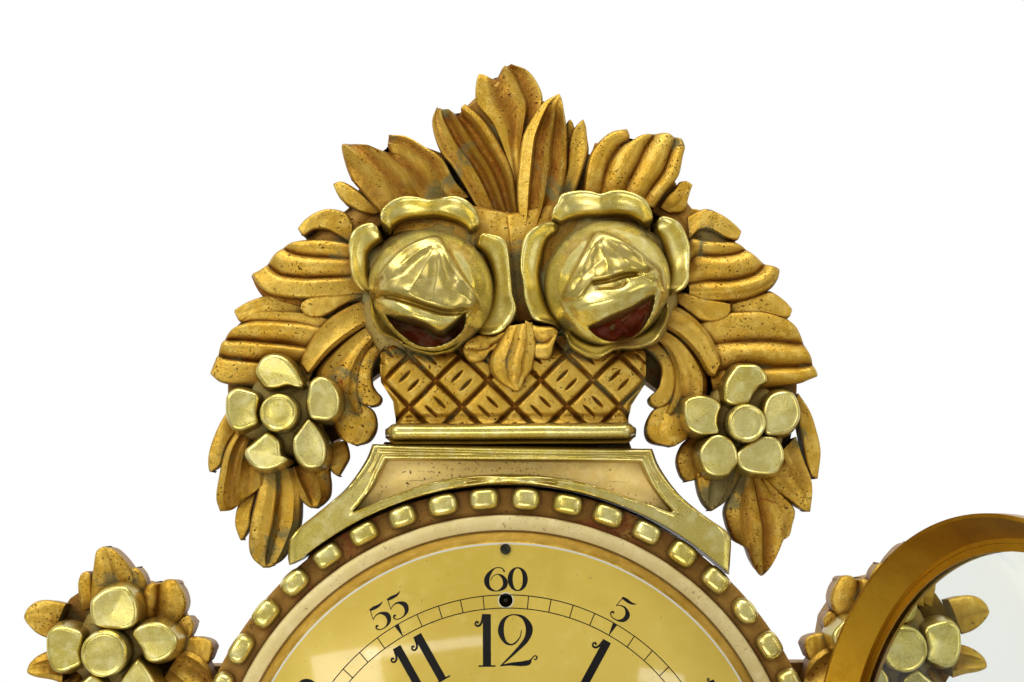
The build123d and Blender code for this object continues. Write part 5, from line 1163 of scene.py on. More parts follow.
def roseBud(shape):
    # Disc grid whose depth is a dome plus folds, a tent-like petal, a lip, a cup rim and a deep mouth.
    angle = np.linspace(0, 2 * np.pi, roseLook["around"], endpoint=False)[None, :]
    r = np.sin(np.linspace(0, 1, roseLook["rings"] + 1)[1:, None] * np.pi / 2) + 0 * angle
    where, spread, less = shape["narrow"]
    aside = np.degrees(np.abs((angle - math.radians(where) + np.pi) % (2 * np.pi) - np.pi))
    reach = roseLook["radius"] - less * np.exp(-(aside / spread) ** 2)
    a, b = reach * r * np.cos(angle), reach * r * np.sin(angle)

    def away(line, count=30):
        # Distance from a smooth line, and the nearest share of its length.
        return segmentDistance(a, b, smoothLine(line, count))

    def signed(outline, count):
        # Distance from a closed outline, positive within it.
        closedLine = smoothLine(outline, count, True)
        gap = segmentDistance(a, b, closedLine, True)[0]
        return np.where(insideOutline(a, b, closedLine), gap, -gap), closedLine

    depth = roseLook["base"] + roseLook["rise"] * np.sqrt(np.clip(1 - r ** 2.35, 0, 1))
    tent, _ = signed(shape["tent"], 160)
    depth = depth - 1.4 + 1.9 * softStep(tent, -0.6, 0.8) - 2.0 * softStep(tent, 1.5, 9)
    # painted shade: darker just outside the tent-like petal, and further on in the creases, in the mouth and
    # on the wall below the bud
    hollow = np.exp(-(np.clip(-tent, 0, 9) / 0.9) ** 2) * 0.5
    for line, height, width in shape["folds"]:
        gap, place = away(line)
        fade = np.clip(np.sin(np.pi * np.clip(place, 0.04, 0.96)), 0, 1) ** 0.4
        depth += 0.9 * height * np.clip(1 - gap / (2.4 * width), 0, 1) ** 1.4 * fade
    for line, height, width in shape["wraps"] + [(shape["lip"], 2.4, 3.4)]:
        depth += height * np.exp(-(away(line)[0] / width) ** 2)
    for line, height, width in shape["creases"]:
        cut = np.exp(-(away(line)[0] / width) ** 2)
        depth -= height * cut
        hollow = np.maximum(hollow, cut)
    depth += 1.6 * np.exp(-(away(shape["rim"], 60)[0] / 1.2) ** 2)
    mouth, mouthOutline = signed(shape["mouth"], 140)
    within = np.maximum(mouth, 0)
    floor = roseLook["mouthFloor"] + 1.2 * np.sin(a * 0.9) * np.cos(b * 0.8)
    depth = depth + (floor - depth) * softStep(within, 0.0, 1.6)
    hollow = np.maximum(hollow, softStep(within, 0.0, 0.8))
    depth = np.minimum(depth, roseLook["deepest"]) + 0.12 * np.sin(a * 0.7 + 1) * np.cos(b * 0.6)
    narrow, wall = budWall.T[:, :, None]
    depth = np.vstack([depth, wall + 0 * angle])
    hollow = np.vstack([hollow, 0 * wall + 1 + 0 * angle])
    a, b = np.vstack([a, narrow * a[-1:]]), np.vstack([b, narrow * b[-1:]])
    centre = shape["centre"]
    points = np.stack([centre[0] + a, -depth, centre[1] + b], -1)
    return sweptLoops(points, np.clip(hollow, 0, 1)), mouthOutline


def rolledPetal(centre, outer, inner, phase):
    # Petal between its inner line, tucked under the bud, and its outer line: the face rises outwards in a
    # shallow hollow to a rolled rim, then turns back and down to the ground.
    count = roseLook["petalPoints"]
    outer = evenLine(smoothLine(outer, 240), count)
    start = evenLine(smoothLine(inner, 240), count) * 0.93
    share, depth = petalSection.T[:, None, :]
    row = np.arange(share.size)
    spot = np.linspace(0, 1, count)[:, None]
    end = np.clip(np.sin(np.pi * np.clip(spot, 0.004, 0.996)) * 6, 0, 1) ** 0.5
    place = start[:, None, :] + (outer - start)[:, None, :] * share[..., None]
    base = roseLook["petalBase"]
    front = base + (depth - base) * (0.45 + 0.55 * end) + 0.35 * np.sin(spot * 17 + phase) * share
    front = np.minimum(front, roseLook["petalFront"])
    front = front + 4.0 * softStep(-place[..., 1], 14, 21) * (row < petalBackRow)
    front[:, petalBackRow:] = np.minimum(front[:, petalBackRow:], depth[:, petalBackRow:])
    # painted shade: each outer petal darkens near its inner line, under the bud, and on its back
    hollow = np.interp(share, [0, 0.1, 0.2, 0.35, 1], [1, 0.9, 0.3, 0, 0]) * (row < petalBackRow - 2)
    hollow = hollow + 0.9 * (row >= petalBackRow - 1) + 0 * front
    return sweptLoops(np.stack([centre[0] + place[..., 0], -front, centre[1] + place[..., 1]], -1), hollow)


def makeRose(name, shape, node):
    # Bud, outer petals, the dark throat of the mouth, and the ground between bud and petals.
    centre = shape["centre"]
    bud, mouthOutline = roseBud(shape)
    petals = [rolledPetal(centre, *lines, spot * 2.1) for spot, lines in enumerate(shape["petals"])]
    makePiece(name, [bud] + petals, burnishedGilt, [node], smooth=70)
    throat = mouthOutline[::2]
    middle = throat.mean(0)
    ring, deep = throatSteps.T[:, :, None]
    place = middle + (throat - middle)[None, :, :] * ring[..., None]
    lump = np.sin(place[..., 0] * 0.8) * np.cos(place[..., 1] * 0.9)
    floor = deep + lump * (ring < 0.8)
    floor = np.vstack([floor, roseLook["throatBack"] + 0 * floor[:1]])
    x, z = (np.vstack([place[..., axis], place[-1:, :, axis] * 0.99 + middle[axis] * 0.01]) + centre[axis]
            for axis in (0, 1))
    makePiece(name + "Throat", [sweptLoops(np.stack([x, -floor, z], -1))], mouthRed)
    ground = lumpyGround(centre, roseLook["groundRadius"], roseLook["groundFront"], centre[0])
    makePiece(name + "Ground", [ground], groundGilt)


makeRose("leftRose", roseShapes["left"], "rose_left")
makeRose("rightRose", roseShapes["right"], "rose_right")
print("roses carved")

# Basket, its middle leaf and the bar it stands on.
basketLook = {
    "cell": 15.05, "middle": (-6.7, 161.1), "low": 153.6, "high": 190.0, "rows": 110, "cols": 340,
    "front": 64.8, "frontmost": 67.9,
    "groove": 2.0, "border": 2.2, "pillow": 0.8,  # slits, lines between cells and the swell of a cell
    "bulge": 2.6, "waist": 1.6,
}
# Outline of the basket: heights, and how far it reaches to the left and to the right of the middle there.
basketSides = {"left": [(156.5, -44.3), (163.6, -45.3), (171.7, -50.4), (184, -50.5), (190, -46)],
               "right": [(156.5, 50.5), (161.6, 51.6), (170.7, 57.6), (184, 57.7), (190, 52)]}


def basketRelief():
    # Plaited face: square cells turned by 45 degrees, each with two slits that lie along one diagonal, then
    # along the other.
    rows = basketLook["rows"]
    height = np.linspace(basketLook["low"], basketLook["high"], rows)
    left, right = (np.interp(height, *zip(*basketSides[side])) for side in ("left", "right"))
    share = np.linspace(0, 1, basketLook["cols"])
    x = left[:, None] + (right - left)[:, None] * share[None, :]
    z = height[:, None] + 0 * x
    cell = basketLook["cell"]
    fromX, fromZ = x - basketLook["middle"][0], z - basketLook["middle"][1]
    cellP, cellQ = ((fromX + sign * fromZ) / math.sqrt(2) / cell + 0.5 for sign in (1, -1))
    even = (np.floor(cellP) + np.floor(cellQ)) % 2 < 1
    fp, fq = cellP % 1, cellQ % 1
    across, along = np.where(even, fp, fq), np.where(even, fq, fp)
    third = np.minimum(np.abs(across - 1 / 3), np.abs(across - 2 / 3)) * cell
    border = np.minimum(np.minimum(fp, 1 - fp), np.minimum(fq, 1 - fq)) * cell
    slit = np.clip(1 - ((along - 0.5) / 0.25) ** 2, 0, 1)
    relief = -basketLook["groove"] * np.exp(-(third / (0.2 + 0.4 * slit)) ** 2) * slit ** 0.7
    relief = relief - basketLook["border"] * np.exp(-(border / 0.85) ** 2)
    relief = relief + basketLook["pillow"] * np.sin(np.pi * along)
    aside = np.abs(2 * share - 1)[None, :]
    depth = basketLook["front"] + relief * 0.9 + basketLook["bulge"] * (1 - aside ** 2) - 0.9
    depth = depth - 2.4 * np.exp(-((1 - aside) / 0.03) ** 2) - 5.0 * softStep(z, 178, 189)
    depth = depth - basketLook["waist"] * np.exp(-((z - 156.6) / 1.6) ** 2)
    depth = np.minimum(depth, basketLook["frontmost"])
    # painted shade in the slits and the lines between cells, with a painted shadow over the top of the basket
    # under the roses; the sides below are darkened too
    hollow = np.clip(-relief / basketLook["border"], 0, 1) + 0.3 * softStep(z, 172, 186)
    columns, masks = [np.stack([x, -depth, z], -1)], [hollow]
    for edge, deep in ((-1, 60.0), (-1, 41.0), (0, 41.0), (0, 60.0)):
        columns.append(np.stack([x[:, edge], np.full(rows, -deep), z[:, edge]], -1)[:, None, :])
        masks.append(np.full((rows, 1), 0.9))
    return sweptLoops(np.concatenate(columns, 1), np.concatenate(masks, 1))


makePiece("basketWeave", [basketRelief()], giltWood, ["basket"], smooth=60)

middleFans = [
    fan("crest", 71.6, 1.5, [(1.5, 193.5), (-3.5, 185.5), (-6, 181), (-6, 175.5), (-2.5, 171), (2, 168.5),
         (4, 167)],
        [(11.5, 195), (13, 185.5), (12, 180), (11, 175.5), (8.5, 172.5), (6.5, 168), (5, 167)],
        [(0, -1.4), (0.1, -0.6), (0.36, 0.5), (0.52, -0.8), (0.72, 0.7), (0.84, -0.8), (1, -1.2)]),
    fan("valley", 69.4, 1, [(3, 193), (-4, 190), (-9, 190.5), (-14, 188.5), (-16.5, 185.5)],
        [(-0.5, 183), (-5.5, 183), (-8, 180), (-11.5, 178.5), (-14.5, 179.5), (-16.5, 182.5), (-17, 185)],
        [(0, -0.8), (0.3, 0.4), (0.55, -1.1), (0.8, 0.3), (1, -1)]),
    fan("valley", 69.6, 1, [(9.5, 183), (12.5, 180.5), (17, 180), (19, 181.5), (20, 185.5), (21.5, 190)],
        [(8.5, 196.5), (13, 194), (19, 193.5), (21.5, 192), (22, 190.5)],
        [(0, -0.8), (0.3, 0.3), (0.5, -1.3), (0.8, 0.4), (1, -1)]),
]
for leaf in middleFans:
    leaf["back"] = 58.0
makePiece("middleLeaf", [fanLeaf(leaf) for leaf in middleFans], giltWood, ["centre_leaf"])

barLook = {
    "left": -48.6, "right": 53.6, "low": 147.8, "high": 154.6,
    "front": 70.0, "flat": 63.5, "back": 40.5,  # depths of its crown, its sides and its back
    "filletFront": 65.2, "fillet": 1.7,
}


def halfRoundBar():
    # Half-round rail with a fillet below it and rounded ends.
    low, high, back, fillet = (barLook[key] for key in ("low", "high", "back", "filletFront"))
    drop = barLook["fillet"]
    bend = np.linspace(-np.pi / 2, np.pi / 2, 24)
    middle, half = (low + high) / 2, (high - low) / 2
    crown = barLook["flat"] + (barLook["front"] - barLook["flat"]) * np.cos(bend) ** 0.9
    section = np.vstack([[(back, low - drop), (fillet, low - drop), (fillet + 0.6, low - drop + 0.5),
                          (fillet - 0.6, low - 0.2)],
                         np.stack([crown, middle + half * np.sin(bend)], -1), [(back, high - 0.2)]])
    # painted shade: the fillet, the upper and lower edges of the half-round and its back take the hollow
    # colour, leaving the light on its middle
    mask = np.concatenate([[1, 0.7, 0.7, 0.9], 0.85 * np.abs(np.sin(bend)) ** 4, [1.0]])
    along = np.linspace(0, 1, 80)
    length = barLook["right"] - barLook["left"]
    end = np.minimum(along, 1 - along) * length
    tuck = 1 - 0.55 * np.exp(-(end / 2.2) ** 2)[:, None]
    x = (barLook["left"] + along * length)[:, None]
    depth = back + (section[None, :, 0] - back) * tuck ** 0.5
    z = middle + (section[None, :, 1] - middle) * tuck + 0.05 * np.sin(x / 7)
    return sweptLoops(np.stack([x + 0 * depth, -depth, z], -1), mask[None, :] + 0 * depth)


makePiece("basketRail", [halfRoundBar()], burnishedGilt, ["basket_bar"])
print("basket carved")

# Pediment: a burnished moulded frame round a sunk matte panel.
frameLook = {
    "front": 65.8, "cove": 1.5, "across": 30,
    "bead": (2.2, 1.7), "innerBead": (2.4, 1.6),  # how far each edge rolls down, and over which width
    "ringRadius": 129.6,                          # it stays clear of the pearl ring
    "panel": 58.6, "panelFoot": 56.5, "back": 41.0,
}
# Matching stretches of the outer and the inner edge, in order round the frame.
frameStretches = [
    ([(-53.5, 146.3), (0, 145.2), (59.7, 143.8)],
     [(-47.5, 139.7), (0, 139), (54.6, 138.2)], 110),
    ([(59.7, 143.8), (62.7, 136.2), (69.8, 126.1), (78.9, 118), (89, 110.9)],
     [(54.6, 138.2), (57, 132.6), (59.7, 128.1), (63.2, 123.2), (66.8, 119)], 70),
    ([(89, 110.9), (91, 106.9), (90.6, 99), (90, 92.7)],
     [(66.8, 119), (66.6, 118.9), (66.3, 118.9), (66, 118.9)], 22),
    ([(90, 92.7), (80.9, 100.8), (65.8, 109.9), (50.6, 118), (30.4, 124.6), (15.2, 127.1), (0.1, 127.6),
      (-15.1, 127.1), (-30.3, 125.1), (-50.5, 118), (-65.6, 109.9), (-78.8, 101.8), (-86.9, 97.8)],
     [(66, 118.9), (61, 120.6), (50.6, 124.1), (40.5, 127.6), (30.4, 130.6), (15.2, 133.2), (0.1, 133.8),
      (-15.1, 133.2), (-30.3, 130.6), (-38.4, 128), (-45.4, 125.6), (-53, 122.4), (-60.2, 119.6)], 170),
    ([(-86.9, 97.8), (-87.4, 101.2), (-87.2, 104.4), (-86.9, 107.9)],
     [(-60.2, 119.6), (-60.4, 119.6), (-60.5, 119.7), (-60.6, 119.7)], 22),
    ([(-86.9, 107.9), (-82.8, 112.9), (-72.7, 121), (-63.6, 129.1), (-56.5, 139.2), (-53.5, 146.3)],
     [(-60.6, 119.7), (-58.6, 121.8), (-55.4, 125.8), (-53, 129), (-49.6, 135.4), (-47.5, 139.7)], 76),
]


def frameEdges():
    # Outer and inner edge of the frame as matching rows of points.
    outer, inner = [], []
    for outerLine, innerLine, count in frameStretches:
        outer.append(evenLine(smoothLine(outerLine, 300), count + 1)[:-1])
        inner.append(evenLine(smoothLine(innerLine, 300), count + 1)[:-1])
    return np.vstack(outer), np.vstack(inner)


outerEdge, innerEdge = frameEdges()
ringFree = np.hypot(outerEdge[:, 0], outerEdge[:, 1])
outerEdge = outerEdge * np.maximum(1, frameLook["ringRadius"] / ringFree)[:, None]


def edgeWall(edge, depth):
    # One column of the frame's sides.
    return np.stack([edge[:, 0], np.full(len(edge), -depth), edge[:, 1]], -1)[:, None, :]


def mouldedFrame():
    # Section from outer to inner edge: bead, shallow cove, bead, then the step down to the panel.
    share = np.concatenate([[0.0], np.linspace(0.0, 1, frameLook["across"])])[None, :]
    width = np.linalg.norm(innerEdge - outerEdge, axis=1)[:, None]
    fromOuter, fromInner = share * width, (1 - share) * width
    cove = frameLook["cove"] * softStep(fromOuter, 1.4, 3.2) * softStep(fromInner, 1.4, 3.0)
    cove = cove * np.clip(6.5 / width, 0.55, 1)
    ridge = 0.7 * np.exp(-((fromOuter - 0.52 * width) / 0.7) ** 2) * (width < 9)
    (outerDrop, outerWide), (innerDrop, innerWide) = frameLook["bead"], frameLook["innerBead"]
    rolled = outerDrop * np.clip(1 - fromOuter / outerWide, 0, 1) ** 2.2
    rolled = rolled + innerDrop * np.clip(1 - fromInner / innerWide, 0, 1) ** 2.2
    depth = frameLook["front"] - cove + ridge - rolled
    x, z = (outerEdge[:, axis, None] + (innerEdge - outerEdge)[:, axis, None] * share for axis in (0, 1))
    # painted shade: both rolled edges and the cove take the hollow colour, and the walls take it fully
    hollow = np.clip(1 - fromOuter / 1.1, 0, 1) * 0.9 + np.clip(1 - fromInner / 1.1, 0, 1) * 0.9
    hollow = np.maximum(hollow, 0.55 * np.clip(cove / frameLook["cove"], 0, 1) ** 2)
    back = frameLook["back"]
    points = np.concatenate([np.stack([x, -depth, z], -1), edgeWall(innerEdge, frameLook["panelFoot"]),
                             edgeWall(innerEdge, back), edgeWall(outerEdge, back)], 1)
    hollow = np.concatenate([hollow, np.ones((len(hollow), 3))], 1)
    rows, cols = points.shape[:2]
    return outward(points.reshape(-1, 3), [gridFaces(rows, cols, True, True)], hollow.reshape(-1))


# Middle line of the panel: its height, how far it falls at its ends, and where it stops.
panelSpine = {"height": 136.0, "fall": 6.0, "half": 70, "left": -44, "right": 50}


def sunkPanel():
    # Rings from the panel's middle line to the frame, a little uneven, thick to the board behind.
    ring = np.array([0.02, 0.15, 0.3, 0.45, 0.6, 0.75, 0.88, 0.96, 1.0, 1.0])[:, None, None]
    fall = panelSpine["fall"] * (np.abs(innerEdge[:, 0]) / panelSpine["half"]) ** 2
    spine = np.stack([np.clip(innerEdge[:, 0], panelSpine["left"], panelSpine["right"]),
                      panelSpine["height"] - fall], -1)
    place = spine[None] + (innerEdge - spine)[None] * ring
    depth = frameLook["panel"] + 0.15 * np.sin(place[..., 0] * 0.31) * np.cos(place[..., 1] * 0.5)
    depth[-1] = frameLook["back"]
    return sweptLoops(np.stack([place[..., 0], -depth, place[..., 1]], -1))


makePiece("pedimentFrame", [mouldedFrame()], burnishedGilt, ["pediment_moulding"],
          smooth=50)
makePiece("pedimentPanel", [sunkPanel()], panelGilt, ["pediment"])
print("pediment carved")

# Round case: turned rings, pearls, dial surround.
ringLook = {"segments": 256}
# Sections as (radius, depth).
caseProfile = [(99, -30), (99, -52), (104, -52), (104, -56), (117.5, -56), (117.5, -60.2), (118.4, -60.5),
               (120, -60.4), (124, -60.1), (127.4, -60.4), (128.2, -60), (128.2, -57), (127.6, -56),
               (126, -54), (126, -30.8), (125.2, -30)]
creamProfile = [(110.9, -56), (110.9, -63.2), (111.5, -63.9), (114, -64), (116.6, -63.9), (117.3, -63.3),
                (117.5, -62.4), (117.5, -56)]
coneProfile = [(104, -56), (110.8, -56), (110.8, -63.6), (110.3, -64.6), (109.2, -66.6), (107.6, -69.8),
               (106.5, -71.9), (106, -72.2), (101.6, -72.2), (101.6, -70.8), (104.6, -70.8), (109, -62),
               (109, -58), (104, -58)]
for name, profile, material, slotName, node in (
        ("caseRing", caseProfile, umberGround, "gilt_wood", "case_ring"),
        ("creamRing", creamProfile, creamGilt, "cream_gilt", "cream_ring"),
        ("dialCone", coneProfile, coneGilt, "gilt_metal", "dial_surround")):
    makePiece(name, [turned(profile, ringLook["segments"])], material, [node])

pearlLook = {
    "count": 46, "radius": 124.2, "long": 12.2, "wide": 9.2, "foot": 60.0, "rise": 5.9, "steps": 14,
    "frontmost": 66.05,
}


def pearlBlock(spot):
    # Rounded block: a superellipse outline whose top swells to a soft crown, each one a little different.
    angle = math.radians(spot * 360 / pearlLook["count"])
    rough = seed.normal(0, 1, 6)
    turnAngle = np.linspace(0, 2 * np.pi, 28, endpoint=False)
    power = 3.2 + 0.5 * rough[0]
    cosine, sine = np.cos(turnAngle), np.sin(turnAngle)
    out = (np.abs(cosine) ** power + np.abs(sine) ** power) ** (-1 / power)
    halfRadial = pearlLook["wide"] / 2 * (1 + 0.04 * rough[1])
    halfAlong = pearlLook["long"] / 2 * (1 + 0.04 * rough[2])
    tall = np.linspace(0, np.pi / 2, pearlLook["steps"])
    reach = np.concatenate([[1.0], np.cos(tall) ** 0.55])[:-1]
    rise = np.concatenate([[-2.0], pearlLook["rise"] * (1 + 0.02 * rough[3]) * np.sin(tall) ** 0.8])[:-1]
    radial = reach[:, None] * out * cosine * halfRadial
    along = reach[:, None] * out * sine * halfAlong
    depth = pearlLook["foot"] + rise[:, None] + 0.05 * rough[4] * along + 0.04 * rough[5] * radial
    depth = np.minimum(depth, pearlLook["frontmost"])
    r = pearlLook["radius"] + radial
    x = r * math.cos(angle) - along * math.sin(angle)
    z = r * math.sin(angle) + along * math.cos(angle)
    # painted shade: each block darkens towards its foot
    hollow = np.clip(1 - rise / 2.2, 0, 1)[:, None] + 0 * x
    return sweptLoops(np.stack([x, -depth, z], -1), hollow)


pearls = [pearlBlock(spot) for spot in range(1, pearlLook["count"])]
makePiece("pearls", pearls, burnishedGilt, ["pearl_beads"], smooth=60)
print("rings turned")


# Flat plate with holes: the outline is filled with triangles, copied behind, and every free edge gets a wall.
def flatPlate(outline, holes, front, back, filling=()):
    loops = [np.asarray(outline, float)] + [np.asarray(hole, float) for hole in holes]
    points, edges, start = [], [], 0
    for loop in loops:
        count = len(loop)
        points.extend(loop.tolist())
        edges.extend((start + spot, start + (spot + 1) % count) for spot in range(count))
        start += count
    points.extend(np.asarray(filling, float).tolist() if len(filling) else [])
    flat, _, corners, _, _, _ = delaunay_2d_cdt([Vector(point) for point in points], edges, [], 0, 1e-6)
    flat = np.array([tuple(point) for point in flat])
    corners = np.array(corners)
    middle = flat[corners].mean(1)
    keep = insideOutline(middle[:, 0], middle[:, 1], loops[0])
    for hole in loops[1:]:
        keep &= ~insideOutline(middle[:, 0], middle[:, 1], hole)
    corners = corners[keep]
    ahead = np.concatenate([corners[:, [0, 1]], corners[:, [1, 2]], corners[:, [2, 0]]])
    count = len(flat)
    free = ahead[~np.isin(ahead[:, 0] * count + ahead[:, 1], ahead[:, 1] * count + ahead[:, 0])]
    walls = np.stack([free[:, 1], free[:, 0], free[:, 0] + count, free[:, 1] + count], -1)
    depth = front(flat[:, 0], flat[:, 1]), back(flat[:, 0], flat[:, 1])
    solid = np.vstack([np.stack([flat[:, 0], -depth[0], flat[:, 1]], -1),
                       np.stack([flat[:, 0], -depth[1], flat[:, 1]], -1)])
    return outward(solid, [corners, corners[:, ::-1] + count, walls])


def circle(radius, count, x=0.0, z=0.0):
    angle = np.linspace(0, 2 * np.pi, count, endpoint=False)
    return np.stack([x + radius * np.cos(angle), z + radius * np.sin(angle)], -1)


# Dial: a shallow enamelled dome.
dialLook = {
    "radius": 106.5, "crown": 85.0, "curve": 958.0, "thick": 0.96, "arborHole": 4.5, "windingHole": 4.6,
    "regulatingHole": 2.7, "windingX": 33.0, "windingZ": -24.0, "regulatingZ": 84.0, "ringStep": 3.0,
    "enamel": srgb(200, 172, 64), "enamelDark": srgb(186, 158, 46), "enamelPale": srgb(216, 196, 110),
    "edge": srgb(196, 194, 178), "rough": 0.2, "metallic": 0.2,
}


def dome(x, z):
    return dialLook["crown"] - (x ** 2 + z ** 2) / dialLook["curve"]


def domeBack(x, z):
    return dome(x, z) - dialLook["thick"]


def dialPlate():
    wide, high, upper = (dialLook[key] for key in ("windingX", "windingZ", "regulatingZ"))
    winding, regulating, step = (dialLook[key] for key in ("windingHole", "regulatingHole", "ringStep"))
    holes = [circle(dialLook["arborHole"], 40), circle(winding, 40, -wide, high),
             circle(winding, 40, wide, high), circle(regulating, 32, 0, upper)]
    radii = np.arange(6.5, dialLook["radius"] - 1, step)
    rings = [circle(radius, int(2 * np.pi * radius / step)) for radius in radii]
    rings += [circle(winding + 0.8, 40, side * wide, high) for side in (-1, 1)]
    filling = np.vstack(rings + [circle(regulating + 0.6, 32, 0, upper)])
    clear = np.ones(len(filling), bool)
    for hole in holes:
        middle = hole.mean(0)
        clear &= np.hypot(*(filling - middle).T) > np.hypot(*(hole[0] - middle)) + 0.5
    return flatPlate(circle(dialLook["radius"], 240), holes, dome, domeBack, filling[clear])


# Enamel: warm yellow with soft clouds, a paler worn rim round the regulating hole and a grey-white edge,
# under a glossy coat.
def enamelMaterial():
    material, tree, shader = newMaterial("dialEnamel")
    coords = tree.nodes.new("ShaderNodeTexCoord").outputs["Object"]
    split = addNode(tree, "ShaderNodeSeparateXYZ")
    tree.links.new(coords, split.inputs[0])
    x, z = split.outputs["X"], split.outputs["Z"]
    radius = mathNode(tree, "SQRT", plus(tree, times(tree, x, x), times(tree, z, z)))
    cloud = noiseNode(tree, coords, 14, 4, 0.6)
    fine = noiseNode(tree, coords, 160, 3, 0.6)
    tone = mixNode(tree, stepNode(tree, cloud, 0.4, 0.62), dialLook["enamelDark"], dialLook["enamel"])
    pale = times(tree, stepNode(tree, fine, 0.5, 0.75), 0.16)
    tone = mixNode(tree, pale, tone, dialLook["enamelPale"])
    darker = times(tree, stepNode(tree, radius, 0.094, 0.1055), 0.35)
    tone = mixNode(tree, darker, tone, dialLook["enamelDark"])
    up = minus(tree, z, dialLook["regulatingZ"] * mm)
    holeGap = mathNode(tree, "SQRT", plus(tree, times(tree, x, x), times(tree, up, up)))
    rim = minus(tree, 1.0, stepNode(tree, holeGap, 0.0029, 0.0034))
    rim = times(tree, rim, 0.75)
    tone = mixNode(tree, rim, tone, dialLook["edge"])
    edge = stepNode(tree, radius, 0.1056, 0.1060)
    tone = mixNode(tree, edge, tone, dialLook["edge"])
    spot = stepNode(tree, noiseNode(tree, coords, 620, 2, 0.5), 0.71, 0.75)
    tone = mixNode(tree, times(tree, spot, 0.5), tone, srgb(110, 88, 34))
    tree.links.new(tone, shader.inputs["Base Color"])
    rough = plus(tree, dialLook["rough"], times(tree, fine, 0.1))
    tree.links.new(rough, shader.inputs["Roughness"])
    bump = addNode(tree, "ShaderNodeBump")
    bump.inputs["Strength"].default_value = 0.15
    bump.inputs["Distance"].default_value = 0.04 * mm
    tree.links.new(cloud, bump.inputs["Height"])
    tree.links.new(bump.outputs[0], shader.inputs["Normal"])
    shader.inputs["Metallic"].default_value = dialLook["metallic"]
    shader.inputs["Coat Weight"].default_value = 1.0
    shader.inputs["Coat Roughness"].default_value = 0.05
    return material


dialEnamel = enamelMaterial()
makePiece("dialPlate", [dialPlate()], dialEnamel, ["dial_plate"], smooth=35)

# Printing: thin closed ribbons a little proud of the dome.
printLook = {
    "proud": 0.07, "sunk": 0.06, "innerRing": 81.0, "outerRing": 86.1, "line": 0.36, "mark": 0.38,
    "wedge": 1.9,
    "minuteFoot": 87.4, "minuteHeight": 9.6, "hourFoot": 58.5, "hourHeight": 20.2, "gap": 0.04,
    "minuteStretch": 1.16, "minuteBold": 1.35, "hourBold": 1.05,  # figures drawn wider and heavier
}
